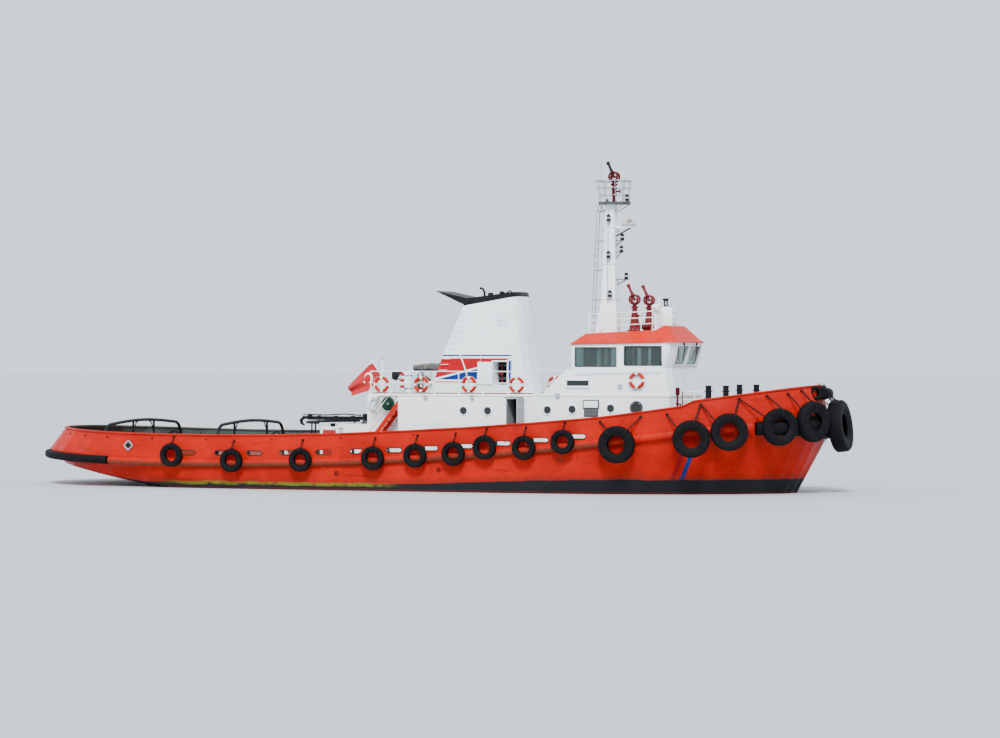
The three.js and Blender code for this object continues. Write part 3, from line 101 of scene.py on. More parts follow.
class Graph:
    """A small builder for node materials. Sockets and plain numbers can be mixed in its calls."""

    def __init__(self, name):
        self.material = bpy.data.materials.new(name)
        self.material.use_nodes = True
        self.tree = self.material.node_tree
        self.shader = self.tree.nodes["Principled BSDF"]
        self.coords = self.node("ShaderNodeTexCoord").outputs["Object"]
        self.parts = self.node("ShaderNodeSeparateXYZ")
        self.join(self.coords, self.parts.inputs[0])

    def node(self, kind, **settings):
        made = self.tree.nodes.new(kind)
        for key, value in settings.items():
            setattr(made, key, value)
        return made

    def join(self, value, socket):
        if isinstance(value, bpy.types.NodeSocket):
            self.tree.links.new(value, socket)
        else:
            socket.default_value = value

    def x(self):
        return self.parts.outputs[0]

    def y(self):
        return self.parts.outputs[1]

    def z(self):
        return self.parts.outputs[2]

    def math(self, operation, a, b=0.0):
        made = self.node("ShaderNodeMath", operation=operation)
        self.join(a, made.inputs[0])
        self.join(b, made.inputs[1])
        return made.outputs[0]

    def times(self, a, b):
        return self.math("MULTIPLY", a, b)

    def plus(self, a, b):
        return self.math("ADD", a, b)

    def minus(self, a, b):
        return self.math("SUBTRACT", a, b)

    def step(self, value, low, high):
        """0 below low and 1 above high, smooth between; low may be the larger one."""
        made = self.node("ShaderNodeMapRange", interpolation_type="SMOOTHSTEP")
        self.join(value, made.inputs["Value"])
        self.join(low, made.inputs["From Min"])
        self.join(high, made.inputs["From Max"])
        return made.outputs["Result"]

    def noise(self, scale, detail=3.0, stretch=(1, 1, 1), rough=0.55, offset=0.0):
        place = self.node("ShaderNodeMapping")
        place.inputs["Scale"].default_value = stretch
        place.inputs["Location"].default_value = (offset, offset * 1.7, offset * 0.6)
        self.join(self.coords, place.inputs["Vector"])
        made = self.node("ShaderNodeTexNoise")
        self.join(place.outputs[0], made.inputs["Vector"])
        made.inputs["Scale"].default_value = scale
        made.inputs["Detail"].default_value = detail
        made.inputs["Roughness"].default_value = rough
        return made.outputs["Fac"]

    def mix(self, share, a, b):
        made = self.node("ShaderNodeMix", data_type="RGBA")
        self.join(share, made.inputs[0])
        self.join(a, made.inputs[6])
        self.join(b, made.inputs[7])
        return made.outputs[2]

    def bump(self, height, strength=0.3, distance=0.01):
        made = self.node("ShaderNodeBump")
        made.inputs["Strength"].default_value = strength
        made.inputs["Distance"].default_value = distance
        self.join(height, made.inputs["Height"])
        return made.outputs[0]

    def finish(self, color, roughness=0.5, metallic=0.0, normal=None, **more):
        self.join(color, self.shader.inputs["Base Color"])
        self.join(roughness, self.shader.inputs["Roughness"])
        self.join(metallic, self.shader.inputs["Metallic"])
        if normal is not None:
            self.join(normal, self.shader.inputs["Normal"])
        for key, value in more.items():
            self.shader.inputs[key.replace("_", " ")].default_value = value
        return self.material


RUST = (0.16, 0.045, 0.012, 1)
PALE_RUST = (0.30, 0.09, 0.03, 1)


def shade(color, factor):
    return tuple(min(1.0, c * factor) for c in color[:3]) + (1.0,)


def weathered(graph, color, wear=0.3, streak=0.3, mottle=0.10):
    """Paint with soft fading, rust runs and small chips."""
    fade = graph.noise(0.7, 4.0)
    base = graph.mix(graph.step(fade, 0.3, 0.7), shade(color, 1 - mottle), shade(color, 1 + mottle))
    grime = graph.step(graph.noise(6.0, 5.0, offset=3.0), 0.52, 0.75)
    base = graph.mix(graph.times(grime, 0.22 * wear / 0.3), base, shade(color, 0.55))
    if streak > 0:
        runs = graph.step(graph.noise(2.6, 3.0, (3.0, 3.0, 0.28), offset=9.0), 0.70 - 0.12 * streak, 0.86)
        base = graph.mix(graph.times(runs, streak), base, PALE_RUST)
    chips = graph.step(graph.noise(14.0, 4.0, offset=5.0), 0.72 - 0.05 * wear, 0.76)
    return graph.mix(graph.times(chips, min(1.0, 1.6 * wear)), base, RUST)


def paint(name, color, wear=0.3, streak=0.3, mottle=0.10, gloss=0.12):
    graph = Graph(name)
    base = weathered(graph, color, wear, streak, mottle)
    dull = graph.plus(graph.times(graph.noise(3.0, 3.0), 0.25), 0.32)
    height = graph.plus(graph.noise(0.9, 2.0), graph.times(graph.noise(40.0, 2.0), 0.04))
    return graph.finish(base, dull, 0.0, graph.bump(height, 0.25, 0.03), Specular_IOR_Level=gloss)


ORANGE = (0.40, 0.006, 0.0005, 1)
WHITE = (0.87, 0.92, 0.94, 1)
BLACK = (0.010, 0.011, 0.013, 1)
RED = (0.13, 0.002, 0.005, 1)
DECK_RED = (0.22, 0.030, 0.016, 1)
FLEX_RED = (0.40, 0.003, 0.010, 1)
BLUE = (0.006, 0.022, 0.17, 1)
GREEN_GREY = (0.050, 0.070, 0.062, 1)
ANTIFOULING = (0.115, 0.010, 0.010, 1)
ALGAE = (0.13, 0.14, 0.012, 1)
GREY = (0.30, 0.32, 0.33, 1)


def facing_up(graph, low, high):
    """1 where a face looks up, by the height of its normal."""
    normal = graph.node("ShaderNodeSeparateXYZ")
    graph.join(graph.node("ShaderNodeNewGeometry").outputs["Normal"], normal.inputs[0])
    return graph.step(normal.outputs[2], low, high), normal


def add_bow_stripes(graph, side):
    """Two slanting stripes near the bow, red and blue."""
    lean = graph.minus(graph.x(), graph.times(graph.z(), 0.5))
    for place, color in ((11.575, shade(FLEX_RED, 0.6)), (11.937, BLUE)):
        off = graph.math("ABSOLUTE", graph.minus(lean, place))
        inside = graph.times(graph.step(off, 0.095, 0.080), graph.step(graph.z(), 1.95, 1.9))
        side = graph.mix(inside, side, color)
    return side


def add_scrapes(graph, side):
    """Long dark rubs, dark smudges and pale scratches along the plating."""
    rubs = graph.step(graph.noise(1.5, 5.0, (0.5, 0.5, 5.0), offset=2.0), 0.58, 0.72)
    side = graph.mix(graph.times(rubs, 0.42), side, shade(ORANGE, 0.40))
    smudge = graph.step(graph.noise(0.9, 6.0, (0.7, 0.7, 1.3), offset=11.0), 0.60, 0.74)
    side = graph.mix(graph.times(smudge, 0.55), side, (0.060, 0.022, 0.014, 1))
    scratch = graph.step(graph.noise(7.0, 4.0, (0.22, 0.22, 3.2), offset=4.0), 0.70, 0.74)
    return graph.mix(graph.times(scratch, 0.45), side, (0.45, 0.10, 0.05, 1))


def add_waterline(graph, side):
    """Black boot-topping that rises forward, algae over it aft, and the bottom paint under it."""
    wave = graph.times(graph.minus(graph.noise(1.1, 4.0), 0.5), 0.14)
    height = graph.plus(graph.z(), wave)
    rise = graph.times(graph.step(graph.x(), -3.0, 10.0), 0.36)
    over = graph.minus(height, graph.plus(0.26, rise))
    soil = graph.step(over, 0.34, 0.0)
    side = graph.mix(graph.times(soil, 0.45), side, (0.070, 0.020, 0.012, 1))
    side = graph.mix(graph.step(over, 0.03, -0.03), side, BLACK)
    length = graph.times(graph.step(graph.x(), -11.5, -9.5), graph.step(graph.x(), 0.5, -1.5))
    band = graph.times(graph.step(height, 0.15, 0.21), graph.step(height, 0.36, 0.28))
    weed = graph.times(graph.times(length, band), graph.step(graph.noise(3.0, 4.0), 0.30, 0.55))
    side = graph.mix(graph.times(weed, 0.85), side, ALGAE)
    low = graph.step(height, 0.12, 0.05)
    side = graph.mix(graph.times(low, 0.8), side, (0.075, 0.010, 0.010, 1))
    return graph.mix(graph.step(graph.z(), -0.16, -0.26), side, weathered(graph, ANTIFOULING, 0.2, 0.0))


def hull_paint():
    """Orange over black boot-topping and red bottom paint. Algae aft, stripes forward, a red deck on top."""
    graph = Graph("hull_paint")
    side = weathered(graph, ORANGE, 0.55, 0.30, 0.16)
    side = add_scrapes(graph, side)
    side = add_bow_stripes(graph, side)
    side = add_waterline(graph, side)
    top, _ = facing_up(graph, 0.8, 0.9)
    deck = weathered(graph, DECK_RED, 0.5, 0.0, 0.2)
    base = graph.mix(graph.times(top, graph.step(graph.z(), 1.0, 1.1)), side, deck)
    rough = graph.plus(graph.times(graph.noise(3.0, 3.0), 0.3), 0.28)
    ribs = graph.noise(0.55, 2.0, (1.6, 1.0, 0.7))
    return graph.finish(base, rough, 0.0, graph.bump(ribs, 0.45, 0.05), Specular_IOR_Level=0.12)


def bulwark_paint():
    """Orange outside and along the top of the rail, green-grey inside."""
    graph = Graph("bulwark_paint")
    outside = add_scrapes(graph, weathered(graph, ORANGE, 0.55, 0.40, 0.14))
    inside = weathered(graph, GREEN_GREY, 0.4, 0.2, 0.2)
    level, normal = facing_up(graph, 0.8, 0.6)
    facing = graph.plus(graph.times(normal.outputs[0], graph.times(graph.x(), 0.5)),
                        graph.times(normal.outputs[1], graph.y()))
    inner = graph.times(graph.step(facing, 0.0, -0.3), level)
    rough = graph.plus(graph.times(graph.noise(3.0, 3.0), 0.3), 0.3)
    height = graph.noise(0.8, 2.0, (1.5, 1.0, 0.7))
    return graph.finish(graph.mix(inner, outside, inside), rough, 0.0, graph.bump(height, 0.4, 0.04),
                        Specular_IOR_Level=0.12)


def rail_paint():
    """The half-round rail: orange above, worn to rusty brown below amidships."""
    graph = Graph("rail_orange")
    above = weathered(graph, shade(ORANGE, 0.92), 0.9, 0.7, 0.2)
    along = graph.plus(graph.x(), 9.0)
    curve = graph.plus(1.33, graph.times(graph.times(along, along), 0.00311))
    wave = graph.times(graph.minus(graph.noise(2.2, 4.0), 0.5), 0.16)
    under = graph.plus(graph.minus(graph.z(), curve), wave)
    worn = graph.times(graph.step(under, -0.17, -0.24), graph.step(graph.x(), 10.5, 8.5))
    brown = graph.mix(graph.noise(5.0, 4.0), (0.055, 0.016, 0.010, 1), (0.19, 0.045, 0.018, 1))
    height = graph.plus(graph.noise(0.9, 2.0), graph.times(graph.noise(18.0, 3.0), 0.10))
    return graph.finish(graph.mix(graph.times(worn, 0.85), above, brown), 0.5, 0.0,
                        graph.bump(height, 0.4, 0.03), Specular_IOR_Level=0.12)


def zoned(name, low, high, edge, wear=0.2):
    """Paint of two colours, low under the height edge and high over it."""
    graph = Graph(name)
    over = graph.step(graph.z(), edge - 0.01, edge + 0.01)
    base = graph.mix(over, weathered(graph, low, wear, 0.2, 0.06), weathered(graph, high, wear, 0.2, 0.06))
    return graph.finish(base, 0.42, 0.0, graph.bump(graph.noise(0.9, 2.0), 0.25, 0.03))


def hose_paint():
    """A red box with white ends."""
    graph = Graph("hose_box_paint")
    off = graph.math("ABSOLUTE", graph.minus(graph.x(), -3.585))
    ends = graph.math("MAXIMUM", graph.step(off, 0.30, 0.32), graph.step(graph.z(), 2.53, 2.56))
    base = graph.mix(ends, weathered(graph, FLEX_RED, 0.2, 0.1, 0.08),
                     weathered(graph, WHITE, 0.2, 0.2, 0.05))
    return graph.finish(base, 0.42, 0.0, graph.bump(graph.noise(0.9, 2.0), 0.2, 0.02))


def rubber(name, color=(0.004, 0.004, 0.005, 1)):
    graph = Graph(name)
    dust = graph.step(graph.noise(5.0, 5.0), 0.45, 0.75)
    base = graph.mix(graph.times(dust, 0.35), color, (0.016, 0.015, 0.014, 1))
    return graph.finish(base, graph.plus(graph.times(dust, 0.2), 0.66), 0.0,
                        graph.bump(graph.noise(30.0, 4.0), 0.25, 0.01), Specular_IOR_Level=0.08)


def steel(name, color, roughness=0.4, rust=0.4):
    graph = Graph(name)
    spots = graph.step(graph.noise(9.0, 5.0), 0.66 - 0.2 * rust, 0.74)
    base = graph.mix(spots, color, RUST)
    return graph.finish(base, graph.plus(graph.times(spots, 0.35), roughness),
                        graph.minus(0.85, graph.times(spots, 0.8)),
                        graph.bump(graph.noise(25.0, 4.0), 0.2, 0.01))


def glass(name, color, alpha):
    graph = Graph(name)
    smear = graph.step(graph.noise(1.6, 3.0, (1, 1, 0.4)), 0.4, 0.7)
    return graph.finish(color, graph.plus(graph.times(smear, 0.04), 0.01), 0.0,
                        Transmission_Weight=alpha, IOR=1.45)


def cloth(name, color, fold=0.35, scale=240.0):
    graph = Graph(name)
    weave = graph.noise(scale, 2.0)
    base = graph.mix(graph.step(graph.noise(4.0, 4.0), 0.35, 0.7), shade(color, 0.8), shade(color, 1.15))
    height = graph.plus(graph.times(weave, 0.15), graph.noise(3.0, 3.0))
    return graph.finish(base, 0.85, 0.0, graph.bump(height, fold, 0.03), Sheen_Weight=0.2)


def wood(name):
    graph = Graph(name)
    grain = graph.noise(9.0, 5.0, (1.0, 6.0, 0.25))
    base = graph.mix(graph.step(grain, 0.35, 0.65), (0.085, 0.030, 0.010, 1), (0.20, 0.080, 0.028, 1))
    return graph.finish(base, 0.35, 0.0, graph.bump(grain, 0.2, 0.01))


def flag_cloth():
    """Red with a white crescent and, for the star, a small pentagon, laid out on the mesh's flat layout."""
    graph = Graph("flag_cloth")
    flat = graph.node("ShaderNodeUVMap", uv_map="flat")
    parts = graph.node("ShaderNodeSeparateXYZ")
    graph.join(flat.outputs[0], parts.inputs[0])

    def disc(cx, cy, radius):
        dx = graph.minus(parts.outputs[0], cx)
        dy = graph.minus(parts.outputs[1], cy)
        away = graph.math("SQRT", graph.plus(graph.times(dx, dx), graph.times(dy, dy)))
        return graph.step(away, radius + 0.006, radius - 0.006), away, dx, dy

    moon = disc(0.70, 0.5, 0.26)[0]
    bite = disc(0.765, 0.5, 0.205)[0]
    crescent = graph.times(moon, graph.minus(1.0, bite))
    _, away, dx, dy = disc(1.06, 0.5, 0.135)
    angle = graph.plus(graph.math("ARCTAN2", dy, dx), 4 * pi)
    turn = graph.minus(graph.math("MODULO", angle, 2 * pi / 5), pi / 5)
    fold = graph.math("ABSOLUTE", turn)
    # Each fifth ends at a straight edge, where away * cos(fold) is about 0.053. So the star is a pentagon.
    star = graph.step(graph.times(away, graph.math("COSINE", fold)), 0.056, 0.050)
    mark = graph.math("MAXIMUM", crescent, graph.times(star, graph.step(away, 0.14, 0.13)))
    base = graph.mix(mark, (0.42, 0.003, 0.006, 1), (0.85, 0.85, 0.85, 1))
    return graph.finish(base, 0.8, 0.0, graph.bump(graph.noise(300.0, 1.0), 0.1, 0.002), Sheen_Weight=0.2)


MATERIALS = {
    "hull": hull_paint(),
    "bulwark": bulwark_paint(),
    "roof": paint("roof_orange", (0.55, 0.014, 0.001, 1), wear=0.25, streak=0.15, mottle=0.08),
    "rail_orange": rail_paint(),
    # Dark brown lips round the bulwark's openings: painted shade of their inner faces, with rust chips and
    # runs.
    "lip": paint("lip_paint_and_painted_shade", (0.085, 0.022, 0.012, 1), wear=0.6, streak=0.3, mottle=0.2),
    "white": paint("white_paint", WHITE, wear=0.16, streak=0.16, mottle=0.04, gloss=0.4),
    "black": paint("black_paint", shade(BLACK, 0.7), wear=0.35, streak=0.3, mottle=0.2),
    "red": paint("monitor_red", RED, wear=0.15, streak=0.0, gloss=0.3),
    "mast_red": paint("mast_monitor_red", shade(RED, 0.55), wear=0.2, streak=0.0),
    "barrel": paint("barrel_black", (0.016, 0.010, 0.010, 1), wear=0.2, streak=0.0),
    "deck_red": paint("deck_red", DECK_RED, wear=0.5, streak=0.2, mottle=0.2),
    "stair_red": paint("stair_red", (0.46, 0.012, 0.002, 1), wear=0.4, streak=0.3),
    "flex_red": paint("signal_red", FLEX_RED, wear=0.1, streak=0.0),
    "blue": paint("stripe_blue", BLUE, wear=0.1, streak=0.1),
    "green": paint("winch_green", (0.010, 0.050, 0.028, 1), wear=0.5, streak=0.0),
    "green_deck": paint("deck_green", (0.040, 0.085, 0.055, 1), wear=0.5, streak=0.0, mottle=0.2),
    # Grey paint; on the lobby's white aft wall it is painted shade.
    "grey": paint("grey_paint", GREY, wear=0.25, streak=0.2),
    "pale_grey": paint("pale_grey_paint", (0.30, 0.34, 0.37, 1), wear=0.2, streak=0.2),
    # Dark grey paint; behind the louvres of the house's vents it is painted shade.
    "dark_grey": paint("dark_grey_paint_and_painted_shade", (0.055, 0.060, 0.065, 1), wear=0.3, streak=0.2),
    "green_grey": paint("green_grey_paint", GREEN_GREY, wear=0.4, streak=0.2),
    "casing": zoned("casing_paint", WHITE, (0.02, 0.02, 0.02, 1), 2.74),
    "hose": hose_paint(),
    "bottom": paint("bottom_paint", ANTIFOULING, wear=0.3, streak=0.0, mottle=0.2),
    # Near black paint for dark parts; the same material makes the painted shade sheets in the lobby and in the
    # funnel's recess.
    "dark": paint("near_black_paint_and_painted_shade", (0.010, 0.011, 0.012, 1), wear=0.1, streak=0.0),
    "rubber": rubber("fender_rubber"),
    "gasket": rubber("gasket_rubber", (0.010, 0.010, 0.011, 1)),
    "chain": steel("chain_steel", (0.020, 0.018, 0.017, 1), 0.6, 0.25),
    "steel": steel("bright_steel", (0.55, 0.56, 0.57, 1), 0.3, 0.1),
    "bronze": steel("bronze", (0.46, 0.24, 0.07, 1), 0.25, 0.0),
    "glass": glass("window_glass", (0.30, 0.40, 0.39, 1), 0.95),
    # Opaque, near-black glass of the ports and the slot window: painted shade of the unlit rooms behind; the
    # gloss is real.
    "port_glass_painted_shade": glass("port_glass_painted_shade", (0.010, 0.014, 0.016, 1), 0.0),
    "lens": glass("lens_glass", (0.55, 0.58, 0.58, 1), 0.3),
    "wood": wood("varnished_wood"),
    "chair": cloth("chair_cover", (0.025, 0.025, 0.028, 1)),
    "radome": paint("radome_beige", (0.50, 0.46, 0.40, 1), wear=0.2, streak=0.1),
    "hose_white": cloth("hose_white", (0.80, 0.84, 0.84, 1), 0.2, 60.0),
    "slate": cloth("slate_blind", (0.075, 0.085, 0.085, 1), 0.3, 80.0),
    "curtain": cloth("curtain", (0.75, 0.76, 0.72, 1), 0.5, 120.0),
    "tarpaulin": cloth("boat_cover", (0.075, 0.070, 0.062, 1), 0.6),
    "rope": cloth("rope", (0.50, 0.48, 0.42, 1), 0.3, 90.0),
    "flag": flag_cloth(),
    "buoy_red": paint("buoy_red", (0.42, 0.012, 0.003, 1), wear=0.12, streak=0.0),
    "buoy_white": paint("buoy_white", (0.72, 0.72, 0.68, 1), wear=0.12, streak=0.0),
}


# Mesh building

SHARP_DEGREES = 35


def turns(count):
    """Angles that share a full turn equally."""
    return [2 * pi * k / count for k in range(count)]


def axes_about(axis):
    """The axis at length 1, and two directions square to it and to each other."""
    along = Vector(axis).normalized()
    side = along.orthogonal().normalized()
    return along, side, along.cross(side)


class Piece:
    """Collects closed shapes in one mesh, each with a material from the table."""

    def __init__(self, name):
        self.name = name
        self.mesh = bmesh.new()
        self.slots = []

    def slot(self, key):
        if key not in self.slots:
            self.slots.append(key)
        return self.slots.index(key)

    def faces(self, points, faces, key, smooth=True):
        slot = self.slot(key)
        verts = [self.mesh.verts.new(p) for p in points]
        for face in faces:
            try:
                made = self.mesh.faces.new([verts[i] for i in face])
            except ValueError:
                continue
            made.material_index = slot
            made.smooth = smooth

    def box(self, low, high, key, turn=None, bevel=0.0):
        middle = [(a + b) / 2 for a, b in zip(low, high)]
        half = [(b - a) / 2 for a, b in zip(low, high)]
        made = bmesh.ops.create_cube(self.mesh, size=2.0)["verts"]
        shape = Matrix.Translation(middle) @ (turn or Matrix.Identity(4)) @ Matrix.Diagonal((*half, 1.0))
        bmesh.ops.transform(self.mesh, matrix=shape, verts=made)
        faces = list({f for v in made for f in v.link_faces})
        for face in faces:
            face.material_index = self.slot(key)
            face.smooth = False
        if bevel > 0:
            edges = list({e for f in faces for e in f.edges})
            bmesh.ops.bevel(self.mesh, geom=edges, offset=bevel, segments=2, profile=0.5, affect="EDGES",
                            material=self.slot(key))

    def loft(self, rings, key, smooth=True):
        """Skins rings of equally many points, and caps both ends."""
        count = len(rings[0])
        points = [p for ring in rings for p in ring]
        faces = []
        for r in range(len(rings) - 1):
            for i in range(count):
                j = (i + 1) % count
                faces.append((r * count + i, r * count + j, (r + 1) * count + j, (r + 1) * count + i))
        faces.append(tuple(reversed(range(count))))
        faces.append(tuple((len(rings) - 1) * count + i for i in range(count)))
        self.faces(points, faces, key, smooth)

    def tube(self, points, radius, key, sides=10, closed=False):
        """A round tube along points. closed joins its ends."""
        points = [Vector(p) for p in points]
        count = len(points)
        rings = []
        side = None
        for i, point in enumerate(points):
            before = points[i - 1] if i > 0 or closed else point
            after = points[(i + 1) % count] if i + 1 < count or closed else point
            along = (after - before).normalized()
            if side is None:
                side = along.orthogonal().normalized()
            side = (side - along * side.dot(along)).normalized()
            up = along.cross(side)
            rings.append([point + (side * cos(t) + up * sin(t)) * radius for t in turns(sides)])
        if closed:
            self.hoop(rings, key)
        else:
            self.loft(rings, key)

    def hoop(self, rings, key):
        """Skins rings whose last one joins the first, at the turn that lies nearest."""
        count, sides = len(rings), len(rings[0])
        last, first = rings[-1], rings[0]
        turn = min(range(sides), key=lambda k: (Vector(last[0]) - Vector(first[k])).length)
        faces = []
        for r in range(count):
            shift = turn if r == count - 1 else 0
            after = (r + 1) % count
            for i in range(sides):
                j = (i + 1) % sides
                faces.append((r * sides + i, r * sides + j, after * sides + (j + shift) % sides,
                              after * sides + (i + shift) % sides))
        self.faces([p for ring in rings for p in ring], faces, key)

    def turned(self, profile, place, axis, key, segments=24, closed=False):
        """Revolves (radius, along) points about axis through place. closed joins the profile's ends."""
        along, side, up = axes_about(axis)
        place = Vector(place)
        rings = []
        for t in turns(segments):
            out = side * cos(t) + up * sin(t)
            rings.append([place + out * r + along * h for r, h in profile])
        count = len(profile)
        faces = []
        for k in range(segments):
            n = (k + 1) % segments
            for i in range(count if closed else count - 1):
                j = (i + 1) % count
                faces.append((k * count + i, n * count + i, n * count + j, k * count + j))
        self.faces([p for ring in rings for p in ring], faces, key)

    def cap(self, radius, low, high, place, axis, key, segments):
        """A disc at high with its rim down to low, along axis from place."""
        self.turned([(0.0, high), (radius, high), (radius, low)], place, axis, key, segments)

    def rod(self, start, end, radius, key, sides=10):
        self.tube([start, end], radius, key, sides)

    def ball(self, place, radius, key, squash=(1, 1, 1)):
        made = bmesh.ops.create_uvsphere(self.mesh, u_segments=12, v_segments=6, radius=radius)
        verts = made["verts"]
        bmesh.ops.transform(self.mesh, matrix=Matrix.Translation(place) @ Matrix.Diagonal((*squash, 1)),
                            verts=verts)
        for face in {f for v in verts for f in v.link_faces}:
            face.material_index = self.slot(key)
            face.smooth = True

    def done(self, body=VESSEL, replaces=()):
        """Makes the object on its body. replaces names the nodes whose place it takes."""
        bmesh.ops.remove_doubles(self.mesh, verts=self.mesh.verts, dist=1e-5)
        bmesh.ops.recalc_face_normals(self.mesh, faces=self.mesh.faces)
        data = bpy.data.meshes.new(self.name)
        self.mesh.to_mesh(data)
        self.mesh.free()
        for key in self.slots:
            data.materials.append(MATERIALS[key])
        data.set_sharp_from_angle(angle=radians(SHARP_DEGREES))
        made = bpy.data.objects.new(self.name, data)
        bpy.context.scene.collection.objects.link(made)
        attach(made, body)
        if replaces:
            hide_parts(*replaces)


def arc(centre, radius, start, end, steps, plane="xz"):
    """Points on an arc, angles in degrees, in the plane named by its two axes."""
    axes = {"x": 0, "y": 1, "z": 2}
    first, second = axes[plane[0]], axes[plane[1]]
    points = []
    for k in range(steps + 1):
        t = radians(start + (end - start) * k / steps)
        point = list(centre)
        point[first] += radius * cos(t)
        point[second] += radius * sin(t)
        points.append(tuple(point))
    return points


def table_at(rows, x):
    if x <= rows[0][0]:
        return rows[0][1]
    for (x0, v0), (x1, v1) in zip(rows, rows[1:]):
        if x <= x1:
            return v0 + (v1 - v0) * (x - x0) / (x1 - x0)
    return rows[-1][1]


# The hull's lines, as in the frame

STEM_X, STERN_X, HALF_BEAM = 17.4, -18.3, 4.6


def sheer(x):
    return 1.33 + 0.00311 * (x + 9.0) ** 2


LEVELS = {"rail": (-18.27, 17.4), "top": (-17.48, 17.15), "deck": (-18.3, 17.4)}
RAIL_LOW_DROP = [(14.0, 0.4), (15.3, 0.7), (16.7, 0.95), (STEM_X, 1.23)]
RAIL_HIGH_DROP = [(14.0, 0.05), (15.3, 0.15), (STEM_X, 0.2)]
BULWARK_HEIGHT = [(STERN_X, 0.93), (-9.0, 0.96), (0.0, 0.95), (5.0, 0.9), (9.0, 0.82), (12.6, 0.85),
                  (13.1, 1.01), (STEM_X, 0.96)]


def half_breadth(level, x):
    aft, fore = LEVELS[level]
    run = 0.0
    if x < -10.0:
        run = (-10.0 - x) / (-10.0 - aft)
    if x > 7.0:
        run = (x - 7.0) / (fore - 7.0)
    return HALF_BEAM * sqrt(max(0.0, 1 - run ** 3))


def edge_at(level, x):
    """Half breadth and the outward direction in plan, on the port side."""
    step = 0.03
    rise = half_breadth(level, x + step) - half_breadth(level, x - step)
    angle = atan2(1, -rise / (2 * step))
    return half_breadth(level, x), Vector((cos(angle), sin(angle), 0))


def bulwark_point(x, height, side):
    """The point at x on the bulwark's outer face, at a share of its height, and the outward direction."""
    aft = STERN_X + (LEVELS["top"][0] - STERN_X) * height
    fore = STEM_X + (LEVELS["top"][1] - STEM_X) * height
    share = (x - aft) / (fore - aft)
    foot_x = STERN_X + (STEM_X - STERN_X) * share
    top_x = LEVELS["top"][0] + (LEVELS["top"][1] - LEVELS["top"][0]) * share
    y = half_breadth("deck", foot_x) * (1 - height) + half_breadth("top", top_x) * height
    z = sheer(foot_x) + table_at(BULWARK_HEIGHT, foot_x) * height
    out = edge_at("deck", foot_x)[1]
    return Vector((x, side * y, z)), Vector((out.x, side * out.y, 0))


def bulwark_at(x, z, side):
    """As bulwark_point, at a height above the water."""
    return bulwark_point(x, (z - sheer(x)) / table_at(BULWARK_HEIGHT, x), side)


def side_box(piece, side, xs, outs, zs, key, bevel=0.0):
    """A box on one side, where outs is the range of distances from the centreline."""
    ys = sorted((side * outs[0], side * outs[1]))
    piece.box((xs[0], ys[0], zs[0]), (xs[1], ys[1], zs[1]), key, bevel=bevel)


def rounded_loop(u0, u1, v0, v1, radius, steps=5):
    """A rectangle with rounded corners, as points in two coordinates."""
    points = []
    corners = ((u1 - radius, v1 - radius, 0), (u0 + radius, v1 - radius, 90), (u0 + radius, v0 + radius, 180),
               (u1 - radius, v0 + radius, 270))
    for cu, cv, start in corners:
        for k in range(steps + 1):
            t = radians(start + 90 * k / steps)
            points.append((cu + radius * cos(t), cv + radius * sin(t)))
    return points


# Tyres, chains and rails along the sides

SMALL, LARGE, BOW = (0.51, 0.27, 0.29), (0.77, 0.38, 0.42), (0.84, 0.37, 0.44)
SIDE_TYRES = [(-10.32, 1.44, SMALL), (-7.47, 1.23, SMALL), (-4.24, 1.29, SMALL), (-0.91, 1.40, SMALL),
              (1.01, 1.53, SMALL), (2.73, 1.63, SMALL), (4.12, 1.91, SMALL), (5.86, 1.91, SMALL),
              (7.56, 2.17, SMALL), (9.89, 2.08, LARGE), (12.9, 2.33, LARGE), (14.32, 2.61, LARGE)]
BOW_TYRES = [(16.0, 2.81, LARGE), (16.96, 3.01, BOW)]
# For each large tyre: the place of an eye on the bulwark, and where its chain meets the tyre, in degrees.
CHAIN_EYES = {9.89: [(9.08, 3.01, 125), (10.81, 3.20, 52)], 12.9: [(11.89, 3.31, 142), (13.24, 3.72, 78)],
              14.32: [(13.24, 3.72, 140), (14.70, 3.93, 72)], 16.0: [(14.70, 3.93, 146), (15.70, 4.05, 84)],
              16.96: [(16.40, 4.12, 140), (16.80, 4.24, 95)]}
RAIL_STAND, BOW_STAND = 0.15, 0.28


def tyre_profile(outer, inner, width):
    half = width / 2
    wall = [(inner, 0.62 * half), (inner + 0.25 * (outer - inner), 0.86 * half),
            (inner + 0.55 * (outer - inner), half), (0.93 * outer, 0.93 * half),
            (0.975 * outer, 0.78 * half), (outer, 0.60 * half)]
    tread = []
    for centre in (0.40, 0.0, -0.40):
        tread += [(outer, (centre + 0.17) * half), (outer, (centre - 0.17) * half),
                  (0.975 * outer, (centre - 0.175) * half), (0.975 * outer, (centre - 0.225) * half)]
    inside = [(inner + 0.02, -0.48 * half), (inner + 0.45 * (outer - inner), -0.80 * half),
              (0.90 * outer, -0.70 * half), (0.93 * outer, 0.0), (0.90 * outer, 0.70 * half),
              (inner + 0.45 * (outer - inner), 0.80 * half), (inner + 0.02, 0.48 * half)]
    return wall + tread[:-1] + [(r, -h) for r, h in reversed(wall)] + inside


def add_tyre(piece, place, axis, size):
    """A worn tyre with ribs, blocks on its shoulders and an open inside."""
    outer, _, width = size
    profile = tyre_profile(*size)
    along, side, up = axes_about(axis)
    segments = 56 if outer > 0.6 else 40
    rings = []
    for k, t in enumerate(turns(segments)):
        out = side * cos(t) + up * sin(t)
        notch = 0.965 if k % 2 else 1.0
        ring = []
        for r, h in profile:
            shoulder = abs(h) > 0.55 * width / 2 and r > 0.96 * outer
            ring.append(Vector(place) + out * (r * (notch if shoulder else 1.0)) + along * h)
        rings.append(ring)
    piece.hoop(rings, "rubber")


